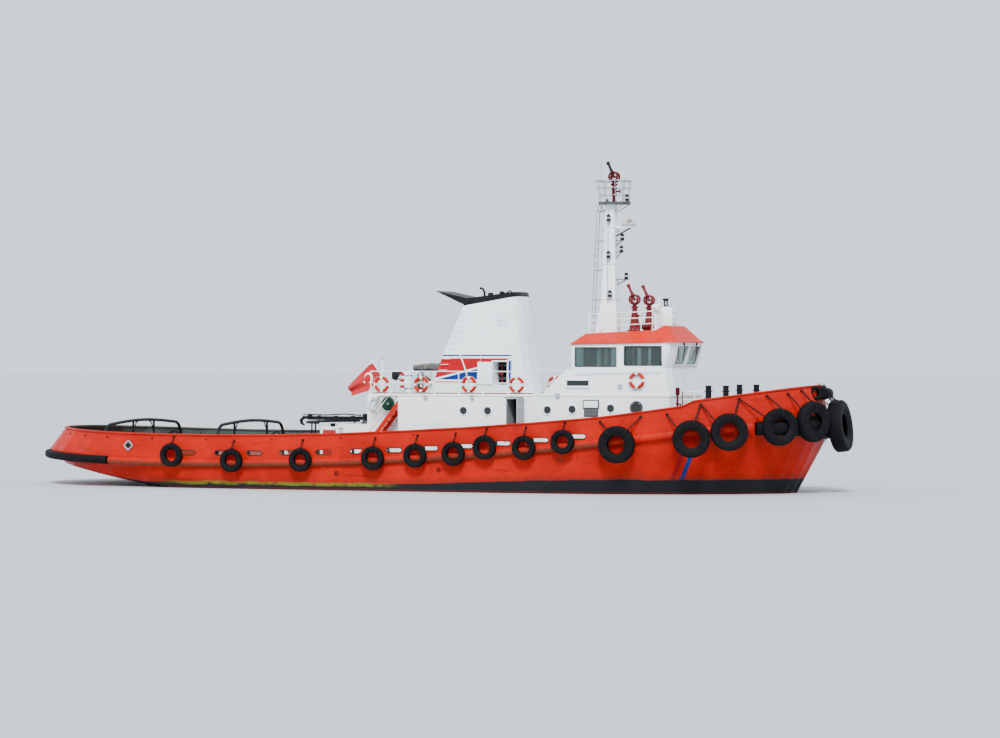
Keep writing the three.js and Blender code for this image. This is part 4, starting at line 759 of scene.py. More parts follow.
def add_chain(piece, start, end, link=0.11, wire=0.014):
    """Links from start to end, each turned a quarter from the last."""
    start, end = Vector(start), Vector(end)
    long = (end - start).length
    count = max(2, round(long / (link * 0.72)))
    along = (end - start).normalized()
    flat = along.orthogonal().normalized()
    half, wide = link / 2 - wire, link * 0.30
    for k in range(count):
        middle = start.lerp(end, (k + 0.5) / count)
        side = along.cross(flat) if k % 2 else flat
        points = []
        for t in turns(10):
            points.append(middle + along * (half * max(-1, min(1, 1.25 * cos(t))))
                          + side * (wide * sin(t)))
        piece.tube(points, wire, "chain", 5, closed=True)


def hung_tyre(level, x, z, size, side, stand):
    y, out = edge_at(level, x)
    centre = Vector((x, y, z)) + out * (stand + size[2] / 2)
    return Vector((centre.x, side * centre.y, z)), Vector((out.x, side * out.y, 0))


def add_grip(chains, centre, out, ahead, size, degrees, wire):
    """A ring of chain steel round the tyre's section, and the place on it where the chain starts."""
    t = radians(degrees)
    away = ahead * cos(t) + Vector((0, 0, sin(t)))
    middle, grip = (size[0] + size[1]) / 2, (size[0] - size[1]) / 2 + 0.03
    loop = [centre + away * (middle + grip * sin(a)) + out * (size[2] / 2 + 0.02) * cos(a)
            for a in turns(14)]
    chains.tube(loop, wire, "chain", 6, closed=True)
    return centre + away * (size[0] + 0.02) - out * 0.06


def add_eye(chains, place, out):
    """A welded pad with its eye."""
    chains.turned([(0.0, 0.012), (0.055, 0.012), (0.06, 0.0), (0.06, -0.02)], place, out, "chain", 12)
    points = [place + out * (0.03 + 0.035 * sin(a)) + Vector((0, 0, 0.035 * cos(a))) for a in turns(10)]
    chains.tube(points, 0.011, "chain", 5, closed=True)


def hang_tyre(tyres, chains, x, z, size, side, stand):
    centre, out = hung_tyre("rail", x, z, size, side, stand)
    add_tyre(tyres, centre, out, size)
    ahead = Vector((abs(out.y), -out.x * (1 if out.y > 0 else -1), 0))
    if size is SMALL:
        top = add_grip(chains, centre, out, ahead, size, 90, 0.018)
        eye, face = bulwark_at(x, min(z + 0.84, sheer(x) + table_at(BULWARK_HEIGHT, x) - 0.09), side)
        add_eye(chains, eye, face)
        add_chain(chains, eye + face * 0.03, top, 0.10)
        return
    for eye_x, eye_z, degrees in CHAIN_EYES[x]:
        top = add_grip(chains, centre, out, ahead, size, degrees, 0.020)
        eye, face = bulwark_at(eye_x, eye_z, side)
        add_eye(chains, eye, face)
        add_chain(chains, eye + face * 0.03, top, 0.13, 0.016)


def rail_levels(x):
    """The lower and upper edge of the hull's rail rows."""
    return sheer(x) - table_at(RAIL_LOW_DROP, x), sheer(x) - table_at(RAIL_HIGH_DROP, x)


def rail_rings(side, start, end, steps, profile):
    """Sections along the hull's rail rows; profile rows are (share of the depth, share of the height up)."""
    rings = []
    for k in range(steps + 1):
        x = start + (end - start) * k / steps
        y, out = edge_at("rail", x)
        low, high = rail_levels(x)
        rings.append([(x + out.x * d, side * (y + out.y * d), low + (high - low) * up) for d, up in profile])
    return rings


HALF_ROUND = [(-0.05, 0.02), (0.09, 0.03), (0.155, 0.16), (0.185, 0.35), (0.19, 0.5), (0.185, 0.65),
              (0.155, 0.84), (0.09, 0.97), (-0.05, 0.98)]


def make_side_rails():
    for name, side in SIDES:
        rail = Piece(f"side_rail_{name}")
        rail.loft(rail_rings(side, -13.52, 15.2, 110, HALF_ROUND), "rail_orange")
        rail.done()
        tyres = Piece(f"side_tyres_{name}")
        chains = Piece(f"tyre_chains_{name}")
        for x, z, size in SIDE_TYRES:
            hang_tyre(tyres, chains, x, z, size, side, RAIL_STAND)
        tyres.done(replaces=[f"rub_rail_{name}"])
        chains.done()


def band_sections(xs, depth, profile):
    sections = []
    for side, order in ((1, xs), (-1, list(reversed(xs))[1:])):
        for x in order:
            y, out = edge_at("rail", x)
            if y < 0.02:
                out = Vector((1 if x > 0 else -1, 0, 0))
                y = 0.0
            low, high = rail_levels(x)
            sections.append([(x + out.x * d * depth, side * (y + out.y * d * depth), low + (high - low) * up)
                             for d, up in profile])
    return sections


BAND = [(-0.15, 0.0), (0.55, 0.02), (0.86, 0.12), (0.98, 0.28), (1.0, 0.5), (0.98, 0.72), (0.86, 0.88),
        (0.55, 0.98), (-0.15, 1.0)]


def end_spaced(start, tip, steps):
    """Places from start to tip, closer together near the tip, where the line turns."""
    return [start + (tip - start) * sin(pi / 2 * k / steps) for k in range(steps + 1)]


def make_fenders():
    stern = Piece("stern_band")
    stern.loft(band_sections(end_spaced(-13.6, -18.27, 30), 0.26, BAND), "rubber")
    stern.done(replaces=["stern_fender"])
    bow = Piece("bow_band")
    bow.loft(band_sections(end_spaced(15.3, 17.399, 30), 0.49, BAND), "rubber")
    bow.done(replaces=["bow_fender"])
    tyres = Piece("bow_tyres")
    chains = Piece("bow_chains")
    for _, side in SIDES:
        for x, z, size in BOW_TYRES:
            hang_tyre(tyres, chains, x, z, size, side, BOW_STAND)
        add_tyre(tyres, (17.16, side * 0.66, 4.17), (0.80, side * 0.60, 0.10), (0.30, 0.15, 0.2))
    tyres.turned([(0.0, -0.46), (0.19, -0.46), (0.23, -0.40), (0.23, 0.40), (0.19, 0.46), (0.0, 0.46)],
                 (17.44, 0, 4.15), ABEAM, "rubber", 24)
    tyres.done()
    for y in (-0.35, 0.35):
        add_chain(chains, (17.24, y, 4.55), (17.66, y * 0.9, 4.0), 0.12, 0.016)
        add_chain(chains, (17.62, y, 4.02), (17.96, y, 3.66), 0.14, 0.018)
    chains.done()
    stem = Piece("stem_tyre_dressed")
    add_tyre(stem, (18.06, 0, 2.8), (cos(0.13), 0, sin(0.13)), (1.08, 0.48, 0.60))
    stem.done(replaces=["stem_tyre"])


FREEING_X = [-9.66, -8.03, -6.52, -4.96, -3.30, -1.71, -0.06, 1.57, 3.14, 4.81, 6.49, 8.12]
FREEING_RISE = [(-10.0, 0.22), (-4.5, 0.21), (0.0, 0.165), (8.5, 0.15)]
EYE_PLATES_X = [-17.2, -16.1, -15.0, -13.7, -11.4, -8.8, -5.7, -2.5, 0.8]
FIRST_STAY_X, LAST_STAY_X = -16.6, 15.6
STAY_STEP, CLOSE_STAY_STEP, CLOSE_STAYS_FROM = 1.62, 1.2, 9


def add_lip(piece, x, z, half_long, half_high, side, key, radius):
    """A rounded lip round an opening with pointed ends in the bulwark."""
    nose = min(half_high, half_long)
    outline = [(x - half_long, z), (x - half_long + nose, z - half_high),
               (x + half_long - nose, z - half_high), (x + half_long, z),
               (x + half_long - nose, z + half_high), (x - half_long + nose, z + half_high)]
    points = []
    for a, b in zip(outline, outline[1:] + outline[:1]):
        for k in range(4):
            u, v = a[0] + (b[0] - a[0]) * k / 4, a[1] + (b[1] - a[1]) * k / 4
            points.append(bulwark_at(u, v, side)[0])
    piece.tube(points, radius, key, 6, closed=True)


def make_bulwark_detail():
    """Lips of the openings, the stays inside, and the eyes along the aft part."""
    for name, side in SIDES:
        lips = Piece(f"bulwark_lips_{name}")
        for x in FREEING_X:
            # The lips' dark brown is painted shade of the openings' inner faces.
            add_lip(lips, x, sheer(x) + table_at(FREEING_RISE, x), 0.385, 0.10, side, "lip", 0.026)
        add_lip(lips, -12.57, 1.81, 0.215, 0.18, side, "grey", 0.035)
        for x in EYE_PLATES_X:
            place, out = bulwark_point(x, 0.82, side)
            lips.turned([(0.0, 0.02), (0.03, 0.02), (0.04, -0.01)], place, out, "chain", 10)
        lips.done()
        stays = Piece(f"bulwark_stays_{name}")
        x = FIRST_STAY_X
        while x < LAST_STAY_X:
            foot, out = bulwark_point(x, 0.04, side)
            head = bulwark_point(x, 0.90, side)[0]
            add_stay(stays, foot - out * 0.065, head - out * 0.065, out)
            x += STAY_STEP if x < CLOSE_STAYS_FROM else CLOSE_STAY_STEP
        stays.done()


def add_stay(piece, foot, head, out):
    """A tapered plate bracket from the deck up the bulwark's inner face."""
    across = Vector((-out.y, out.x, 0)) * 0.006
    corners = [foot, foot - out * 0.34, head - out * 0.09, head]
    piece.loft([[c + across for c in corners], [c - across for c in corners]], "green_grey", smooth=False)


# Carried-over nodes

NODE_MATERIALS = {"hull": ["hull"], "bulwark": ["bulwark_port", "bulwark_starboard", "bulwark_stern"],
                  "bronze": ["propeller_port", "propeller_starboard"],
                  "bottom": ["nozzle_port", "nozzle_starboard", "rudder_port", "rudder_starboard"],
                  "black": ["tow_arch_aft", "tow_arch_fore", "tow_guide_rail", "tow_arm", "bitts_port",
                            "bitts_starboard", "funnel_cowl"], "casing": ["tow_pedestal"],
                  "deck_red": ["hatch_coaming", "hatch_lid"], "hose": ["hose_box"], "green": ["windlass"],
                  "white": ["deckhouse", "boat_deck", "funnel", "funnel_door", "wheelhouse_walls", "mast",
                            "raft_canister", "flagstaff", "searchlight_post", "searchlight", "radar_scanner",
                            "mast_platform", "boat_railing_port", "boat_railing_starboard",
                            "roof_railing_port", "roof_railing_starboard"],
                  "grey": ["side_door_port", "side_door_starboard", "helm_console"], "stair_red": ["stair"],
                  "roof": ["wheelhouse_roof"], "glass": ["wheelhouse_glass"], "wood": ["wheelhouse_door"],
                  "chair": ["helm_chair"], "tarpaulin": ["covered_boat"], "flag": ["flag"],
                  "rubber": ["stern_fender", "bow_fender", "stem_tyre", "rub_rail_port",
                             "rub_rail_starboard"], "red": ["monitor_pedestals"] + [f"monitor_{part}_{name}"
                                                                                    for part in ("swivel",
                                                                                                 "barrel")
                                                                                    for name in ("port",
                                                                                                 "starboard",
                                                                                                 "mast")],}
NODE_SHARP_DEGREES = 32


def dress_nodes():
    """Each shown frame node gets its material and smooth shading."""
    for key, names in NODE_MATERIALS.items():
        for name in names:
            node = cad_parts[name]
            node.data.materials.clear()
            node.data.materials.append(MATERIALS[key])
            for polygon in node.data.polygons:
                polygon.use_smooth = True
            node.data.set_sharp_from_angle(angle=radians(NODE_SHARP_DEGREES))


# The house: ports, doorways, windows, lamps and lines

HOUSE_Y = 2.4
PORTHOLES = [(2.23, 3.38), (3.33, 3.38), (6.02, 3.43), (7.12, 3.46), (8.82, 3.51)]
LAMPS = [(0.52, 3.93), (2.65, 3.94), (6.49, 4.02), (9.26, 4.42), (-1.6, 3.99)]
WALL_BUOY = (9.99, 4.69)
DOORWAY = {"aft": 4.16, "fore": 4.92, "low": 2.11, "high": 3.90, "back": 1.40}


def add_porthole(piece, x, z, side, radius=0.172, rim=0.03, key="white"):
    place = Vector((x, side * HOUSE_Y, z))
    out = (0, side, 0)
    piece.turned([(radius + rim + 0.02, -0.01), (radius + rim + 0.015, 0.02), (radius + rim, 0.032),
                  (radius, 0.032), (radius - 0.012, 0.014)], place, out, key, 32)
    # Near-black glass disc: painted shade of the room behind.
    piece.turned([(radius, 0.012), (radius - 0.03, 0.010), (0.0, 0.010)], place, out, "port_glass_painted_shade", 32)
    for turn in (50, 130, 270):
        t = radians(turn)
        centre = place + Vector((cos(t) * (radius + 0.012), side * 0.03, sin(t) * (radius + 0.012)))
        piece.turned([(0.0, 0.03), (0.018, 0.03), (0.022, 0.0), (0.022, -0.01)], centre, out, "steel", 8)


def add_lifebuoy(piece, place, out, radius=0.283, thick=0.066):
    """An orange ring with four white bands and a rope held at the bands."""
    place, out = Vector(place), Vector(out)
    side = Vector(UP)
    across = out.cross(side)
    for quarter in range(4):
        for start, long, key, grow in ((0, 66, "buoy_red", 1.0), (66, 24, "buoy_white", 1.04)):
            points = []
            steps = 12 if long > 30 else 5
            for k in range(steps + 1):
                t = radians(quarter * 90 + 12 + start + long * k / steps)
                points.append(place + across * radius * cos(t) + side * radius * sin(t))
            piece.tube(points, thick * grow, key, 12)
        rope = []
        for k in range(9):
            t = radians(quarter * 90 + 90 + 90 * k / 8)
            bulge = radius + thick + 0.035 * sin(pi * k / 8)
            rope.append(place + across * bulge * cos(t) + side * bulge * sin(t) + out * 0.01)
        piece.tube(rope, 0.008, "rope", 6)


def add_lamp(piece, place, side):
    """A bulkhead lamp under its small hood."""
    x, y, z = place
    out = abs(y)
    side_box(piece, side, (x - 0.09, x + 0.09), (out, out + 0.06), (z - 0.02, z + 0.09), "white", 0.01)
    piece.ball((x, y + side * 0.08, z - 0.02), 0.065, "lens", (1.2, 0.8, 1.0))
    side_box(piece, side, (x - 0.10, x + 0.10), (out, out + 0.14), (z + 0.085, z + 0.10), "grey")


def make_house_fittings():
    detail = Piece("house_fittings")
    for _, side in SIDES:
        for x, z in PORTHOLES:
            add_porthole(detail, x, z, side)
        add_porthole(detail, 9.95, 3.55, side, 0.21, 0.06, "dark_grey")
        for x, z in LAMPS[:4]:
            add_lamp(detail, (x, side * HOUSE_Y, z), side)
        add_doorway(detail, side)
        add_slot_window(detail, side)
        add_flap(detail, side)
        for z in (2.75, 3.98):
            face = side * (HOUSE_Y + 0.004)
            detail.tube([(-0.7, face, z), (4.0, face, z)], 0.006, "white", 4)
            detail.tube([(5.1, face, z + 0.02), (10.85, face, z + 0.02)], 0.006, "white", 4)
        for x in (5.75, 9.35):
            face = side * (HOUSE_Y + 0.03)
            detail.tube([(x, face, 4.05), (x, face, 2.6), (x + 0.03, face + side * 0.04, 2.45)], 0.022,
                        "white", 8)
        side_box(detail, side, (0.9, 1.25), (HOUSE_Y, HOUSE_Y + 0.09), (2.5, 3.0), "hose", 0.01)
    for y in (-1.3, 0.0, 1.3):
        detail.turned([(0.235, -0.01), (0.225, 0.03), (0.19, 0.032), (0.175, 0.014)], (11.5, y, 3.55), AHEAD,
                      "white", 28)
        # Near-black glass disc: painted shade of the room behind.
        detail.turned([(0.19, 0.012), (0.0, 0.010)], (11.5, y, 3.55), AHEAD, "port_glass_painted_shade", 28)
    detail.done()


def make_wall_lifebuoys():
    buoys = Piece("wall_lifebuoys")
    for _, side in SIDES:
        x, z = WALL_BUOY
        add_lifebuoy(buoys, (x, side * (HOUSE_Y + 0.085), z), (0, side, 0))
        for turn in (-0.2, 0.2):
            side_box(buoys, side, (x + turn - 0.02, x + turn + 0.02), (HOUSE_Y, HOUSE_Y + 0.1),
                     (z - 0.36, z - 0.33), "white")
    buoys.done()


def add_doorway(piece, side):
    """A raised frame round the doorway, with a threshold, and the lobby's black and grey lining: painted
    shade.
    """
    face, proud = HOUSE_Y, HOUSE_Y + 0.003
    aft, fore, low, high, back = DOORWAY.values()
    for xs, zs in (((aft - 0.06, aft - 0.005), (low - 0.05, high + 0.05)), ((fore + 0.005, fore + 0.022),
                   (low - 0.05, high + 0.05)), ((aft - 0.06, fore + 0.022), (high + 0.005, high + 0.05)),
                   ((aft - 0.06, fore + 0.022), (low - 0.06, low - 0.005))):
        side_box(piece, side, xs, (face - 0.01, proud), zs, "white")
    side_box(piece, side, (aft - 0.03, fore + 0.02), (face, face + 0.03), (high + 0.05, high + 0.07),
             "gasket")
    # Black sheets on the lobby's back and fore walls: painted shade of its dark inside.
    side_box(piece, side, (aft + 0.01, fore - 0.01), (back + 0.002, back + 0.012), (low + 0.01, high - 0.01),
             "dark")
    side_box(piece, side, (fore - 0.012, fore - 0.002), (back + 0.02, face - 0.05), (low + 0.01, high - 0.01),
             "dark")
    # A grey sheet on the lobby's white aft wall: painted shade.
    side_box(piece, side, (aft + 0.002, aft + 0.012), (back + 0.02, face - 0.02), (low + 0.01, high - 0.01),
             "grey")


def add_slot_window(piece, side):
    # Near-black glass: painted shade of the room behind.
    side_box(piece, side, (6.89, 7.86), (HOUSE_Y - 0.01, HOUSE_Y + 0.012), (4.46, 4.68), "port_glass_painted_shade")
    side_box(piece, side, (6.83, 7.92), (HOUSE_Y - 0.01, HOUSE_Y + 0.05), (4.36, 4.44), "white", 0.008)
    for xs, zs in (((6.85, 6.89), (4.44, 4.72)), ((7.86, 7.90), (4.44, 4.72)), ((6.85, 7.90), (4.68, 4.72))):
        side_box(piece, side, xs, (HOUSE_Y - 0.01, HOUSE_Y + 0.03), zs, "white")


def add_flap(piece, side):
    """A louvred vent under its hinged flap."""
    # A near-black plate behind the louvres: painted shade of the vent's opening.
    side_box(piece, side, (7.64, 8.28), (HOUSE_Y - 0.01, HOUSE_Y + 0.008), (3.15, 3.52), "dark_grey")
    for k in range(6):
        z = 3.19 + 0.055 * k
        side_box(piece, side, (7.66, 8.26), (HOUSE_Y, HOUSE_Y + 0.035), (z, z + 0.012), "grey")
    side_box(piece, side, (7.60, 8.32), (HOUSE_Y + 0.005, HOUSE_Y + 0.04), (3.49, 3.87), "dark_grey", 0.012)
    side_box(piece, side, (7.65, 8.27), (HOUSE_Y + 0.03, HOUSE_Y + 0.06), (3.54, 3.82), "white", 0.008)
    for x in (7.75, 8.16):
        side_box(piece, side, (x - 0.03, x + 0.03), (HOUSE_Y, HOUSE_Y + 0.07), (3.84, 3.89), "grey")


# Windows: the two ends and the two heights. On the front and the back the ends are distances from the middle.
SIDE_WINDOWS = [(7.23, 9.08, 5.25, 6.08), (9.40, 11.06, 5.30, 6.13)]
FRONT_WINDOW = (0.09, 1.66, 5.33, 6.15)
AFT_WINDOW = (0.80, 2.15, 5.26, 6.08)
AFT_FACE_X = 7.096


def pane_edge(window):
    """Just inside a window's edge, as points in two coordinates."""
    low_u, high_u, low_v, high_v = window
    return rounded_loop(low_u + 0.01, high_u - 0.01, low_v + 0.01, high_v - 0.01, 0.07)


def front_x(z):
    """Where the wheelhouse's leaning front stands at a height."""
    return 11.30 + 0.2437 * (z - 5.2)


def make_window_frames():
    """Gaskets, wipers, grab rails and the eave's gutter."""
    frames = Piece("window_frames")
    for _, side in SIDES:
        for window in SIDE_WINDOWS:
            frames.tube([(u, side * (HOUSE_Y + 0.004), v) for u, v in pane_edge(window)], 0.016, "dark_grey",
                        8, closed=True)
        loop = pane_edge(FRONT_WINDOW)
        frames.tube([(front_x(v) + 0.004, side * u, v) for u, v in loop], 0.022, "white", 8, closed=True)
        frames.tube([(AFT_FACE_X, side * u, v) for u, v in pane_edge(AFT_WINDOW)], 0.026, "gasket", 8,
                    closed=True)
        wiper = [(front_x(6.20) + 0.05, side * 0.9, 6.20), (front_x(5.8) + 0.05, side * 0.7, 5.8)]
        frames.tube(wiper, 0.010, "gasket", 6)
        frames.tube([(front_x(6.0) + 0.04, side * 0.8, 6.0), (front_x(5.5) + 0.04, side * 0.55, 5.5)], 0.014,
                    "gasket", 6)
        frames.turned([(0.0, 0.05), (0.05, 0.05), (0.055, 0.0), (0.055, -0.02)],
                      (front_x(6.21), side * 0.9, 6.21), AHEAD, "gasket", 12)
        frames.tube([(7.1, side * 2.46, 6.20), (11.1, side * 2.46, 6.275)], 0.02, "roof", 6)
        for x, z in ((7.12, 5.7), (9.24, 5.7), (11.14, 5.72)):
            frames.tube([(x, side * (HOUSE_Y + 0.002), z - 0.42), (x, side * (HOUSE_Y + 0.002), z + 0.42)],
                        0.008, "white", 5)
        frames.tube([(7.3, side * 2.5, 5.02), (9.1, side * 2.5, 5.05), (11.0, side * 2.5, 5.09)], 0.018,
                    "white", 8)
        for x in (7.3, 8.5, 9.7, 11.0):
            frames.rod((x, side * 2.39, 5.02 + (x - 7.3) * 0.019), (x, side * 2.5, 5.02 + (x - 7.3) * 0.019),
                       0.012, "white", 6)
    frames.box((11.56, -1.02, 5.18), (11.62, -0.90, 5.30), "grey", bevel=0.01)
    frames.ball((11.64, -0.96, 5.22), 0.06, "lens")
    frames.done()


def make_wheelhouse_inside():
    """What shows through the glass: blinds, curtain, sills, screens and the wheel."""
    inside = Piece("wheelhouse_inside")
    for _, side in SIDES:
        for x0, x1, key in ((7.64, 7.72, "wood"), (7.72, 8.10, "slate"), (8.16, 8.32, "curtain"),
                            (8.34, 8.50, "wood"), (9.42, 9.68, "slate"), (10.10, 10.42, "slate"),
                            (10.96, 11.02, "wood")):
            side_box(inside, side, (x0, x1), (2.20, 2.24), (5.10, 6.12), key, 0.006)
        side_box(inside, side, (7.25, 11.0), (2.10, 2.24), (5.02, 5.14), "wood", 0.01)
    inside.box((7.3, -2.2, 4.105), (11.2, 2.2, 4.115), "wood")
    for y in (-0.75, 0.0, 0.75):
        inside.box((10.42, y - 0.22, 5.12), (10.60, y + 0.22, 5.42), "dark", Matrix.Rotation(-0.3, 4, "Y"),
                   0.01)
    inside.tube(arc((10.30, 0, 5.05), 0.22, 0, 360, 20, "yz")[:-1], 0.018, "wood", 8, closed=True)
    inside.rod((10.30, 0, 5.05), (10.40, 0, 5.02), 0.02, "steel", 8)
    inside.done()


# Boat deck: curbs, rails with lifebuoys, stair rails, the covered boat and the recess

RAIL_POSTS = [-2.04, -1.15, -0.25, 0.9, 2.0, 3.1, 4.25, 5.4]
RAIL_BUOYS = [-1.51, 0.31, 2.50, 4.65]
RAIL_Y, RAIL_MIDDLE, RAIL_TOP, RAIL_FORE = 2.37, 4.56, 5.05, 5.65
DECK_TOP = 4.1
BACK_WALL_Y = -1.35


def make_deck_curbs():
    """White-topped red curbs between the posts, and the deck's green covering."""
    curbs = Piece("deck_curbs")
    for _, side in SIDES:
        for start, end in zip(RAIL_POSTS, RAIL_POSTS[1:]):
            side_box(curbs, side, (start + 0.06, end - 0.06), (2.345, 2.415), (DECK_TOP, DECK_TOP + 0.05),
                     "deck_red")
            side_box(curbs, side, (start + 0.02, end - 0.02), (2.335, 2.421),
                     (DECK_TOP + 0.045, DECK_TOP + 0.075), "white", 0.006)
        side_box(curbs, side, (-2.08, -2.0), (0.08, 2.33), (DECK_TOP, DECK_TOP + 0.07), "white")
    curbs.box((-1.98, -1.40, DECK_TOP), (0.2, 2.30, DECK_TOP + 0.006), "green_deck")
    curbs.box((-0.42, -2.30, DECK_TOP), (0.2, -1.40, DECK_TOP + 0.006), "green_deck")
    for _, side in SIDES:
        side_box(curbs, side, (0.2, 5.7), (1.32, 2.30), (DECK_TOP, DECK_TOP + 0.006), "green_deck")
    curbs.done()


def make_boat_rails():
    """Posts with balls, two rails and the lifebuoys, one piece a side."""
    for name, side in SIDES:
        rail = Piece(f"boat_rail_{name}")
        y = side * RAIL_Y
        aft = RAIL_POSTS[0]
        for x in RAIL_POSTS:
            rail.rod((x, y, DECK_TOP), (x, y, RAIL_TOP), 0.022, "white", 12)
            rail.cap(0.05, 0.0, 0.012, (x, y, DECK_TOP), UP, "white", 12)
            rail.ball((x, y, RAIL_TOP), 0.030, "white")
            rail.ball((x, y, RAIL_MIDDLE), 0.026, "white")
        rail.rod((aft, side * 0.7, DECK_TOP), (aft, side * 0.7, RAIL_TOP), 0.022, "white", 12)
        for z in (RAIL_MIDDLE, RAIL_TOP):
            rail.rod((aft, side * 0.014, z), (aft, y, z), 0.020, "white", 12)
            rail.rod((aft, y, z), (RAIL_FORE, y, z), 0.020, "white", 12)
        for x in RAIL_BUOYS:
            add_lifebuoy(rail, (x, side * 2.445, 4.49), (0, side, 0))
            side_box(rail, side, (x - 0.05, x + 0.05), (RAIL_Y, 2.42), (4.72, 4.76), "white")
        rail.done(replaces=[f"boat_railing_{name}"])


def make_boat_deck_gear():
    """A bin on legs, a striped post, a lamp post and two ventilators."""
    gear = Piece("boat_deck_gear")
    gear.box((-1.80, -0.72, 4.66), (-1.36, -0.30, 5.06), "dark", bevel=0.12)
    for x in (-1.70, -1.46):
        for y in (-0.66, -0.36):
            gear.rod((x, y, DECK_TOP), (x, y, 4.72), 0.02, "white", 8)
    for k in range(6):
        z = 4.20 + 0.13 * k
        gear.rod((-0.74, -2.0, z), (-0.74, -2.0, z + 0.13), 0.085, "flex_red" if k % 2 else "white", 14)
    gear.rod((-0.74, -2.0, DECK_TOP), (-0.74, -2.0, 4.20), 0.03, "white", 10)
    gear.rod((-1.99, -1.2, DECK_TOP), (-1.99, -1.2, 5.56), 0.045, "white", 10)
    gear.turned([(0.0, 0.08), (0.05, 0.07), (0.06, 0.0), (0.04, -0.05), (0.0, -0.05)], (-1.99, -1.2, 5.56),
                UP, "lens", 14)
    for y in (0.5, 1.25):
        gear.turned([(0.0, 0.5), (0.16, 0.5), (0.20, 0.44), (0.17, 0.36), (0.10, 0.34), (0.10, 0.0)],
                    (-0.55, y, DECK_TOP), UP, "white", 20)
    gear.done()


def make_raft_straps():
    raft = Piece("raft_straps")
    for z in (4.30, 4.86):
        raft.turned([(0.212, -0.02), (0.217, -0.02), (0.217, 0.02), (0.212, 0.02)], (-0.85, -1.15, z), UP,
                    "gasket", 32, closed=True)
    raft.turned([(0.212, -0.03), (0.228, -0.02), (0.228, 0.02), (0.212, 0.03)], (-0.85, -1.15, 4.58), UP,
                "white", 32, closed=True)
    raft.done()


BOAT = {"aft": -1.69, "fore": 1.50, "y": 1.86, "half": 0.42, "low": 5.0, "top": 5.43}
BOAT_ROWS = [(0.0, 0.70, 0.75), (0.15, 0.95, 0.92), (0.55, 1.0, 1.0), (0.85, 0.70, 0.85), (1.0, 0.15, 0.60)]


def boat_section(share):
    wide = table_at([(a, w) for a, w, _ in BOAT_ROWS], share)
    high = table_at([(a, h) for a, _, h in BOAT_ROWS], share)
    return BOAT["half"] * wide, BOAT["low"] + (BOAT["top"] - BOAT["low"]) * high


def make_small_boat():
    """A small boat on its cradle."""
    body = Piece("boat_and_cradle")
    rings = []
    for k in range(17):
        share = k / 16
        half, top = boat_section(share)
        x = BOAT["aft"] + 0.02 + (BOAT["fore"] - BOAT["aft"] - 0.04) * share
        waist = BOAT["low"] + 0.45 * (top - BOAT["low"])
        rings.append([(x, BOAT["y"] + half * s, z) for s, z in ((0.96, waist), (0.88, BOAT["low"] + 0.10),
                                                                (0.40, BOAT["low"] + 0.01),
                                                                (-0.40, BOAT["low"] + 0.01),
                                                                (-0.88, BOAT["low"] + 0.10), (-0.96, waist))])
    body.loft(rings, "dark_grey")
    for x in (-1.44, 0.90):
        body.box((x - 0.05, BOAT["y"] - 0.32, 4.94), (x + 0.05, BOAT["y"] + 0.32, 5.02), "white", bevel=0.01)
        for out in (-0.28, 0.28):
            body.rod((x, BOAT["y"] + out, DECK_TOP), (x, BOAT["y"] + out, 4.96), 0.033, "dark_grey", 10)
            body.cap(0.07, 0.0, 0.015, (x, BOAT["y"] + out, DECK_TOP), UP,
                        "white", 12)
        body.rod((x, BOAT["y"] - 0.28, 4.2), (x, BOAT["y"] + 0.28, 4.85), 0.015, "dark_grey", 8)
    body.rod((-1.44, BOAT["y"] - 0.28, 4.5), (0.90, BOAT["y"] - 0.28, 4.5), 0.02, "dark_grey", 8)
    body.done(replaces=["covered_boat"])


def cover_at(u, v):
    """A point of the tight canvas, u along the boat and v over it. Its hem is wavy."""
    half, top = boat_section(u)
    x = BOAT["aft"] + (BOAT["fore"] - BOAT["aft"]) * u
    t = pi * v
    hem = BOAT["low"] + 0.13 + 0.02 * sin(31 * u)
    crease = 1 + 0.035 * sin(26 * u + 3 * v) * sin(t)
    sag = 0.03 * sin(8 * pi * u) ** 2
    high = max(0.02, top - hem)
    y = BOAT["y"] - half * cos(t) * (1 + 0.02 * sin(19 * u))
    return (x, y, hem + (high * sin(t) ** 0.55 - sag * sin(t)) * min(1.0, crease))


def make_boat_canvas():
    cover = grid_sheet("boat_canvas", 64, 20, cover_at, "tarpaulin")
    lash = Piece("canvas_lashing")
    for share in (0.2, 0.45, 0.7):
        points = [Vector(cover_at(share, v / 12)) for v in range(13)]
        lash.tube([p + Vector((0, 0, 0.006)) for p in points], 0.008, "rope", 6)
    lash.done()


def grid_sheet(name, columns, rows, at, key):
    """An open sheet over two shares from 0 to 1, with its flat layout as a UV map."""
    mesh = bmesh.new()
    layer = mesh.loops.layers.uv.new("flat")
    verts = [[mesh.verts.new(at(i / columns, j / rows)) for j in range(rows + 1)] for i in range(columns + 1)]
    for i in range(columns):
        for j in range(rows):
            face = mesh.faces.new([verts[i][j], verts[i + 1][j], verts[i + 1][j + 1], verts[i][j + 1]])
            face.smooth = True
            places = ((i, j), (i + 1, j), (i + 1, j + 1), (i, j + 1))
            for loop, (a, b) in zip(face.loops, places):
                loop[layer].uv = (2.0 * a / columns, 1 - b / rows)
    data = bpy.data.meshes.new(name)
    mesh.to_mesh(data)
    mesh.free()
    data.materials.append(MATERIALS[key])
    made = bpy.data.objects.new(name, data)
    bpy.context.scene.collection.objects.link(made)
    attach(made, VESSEL)
    return made


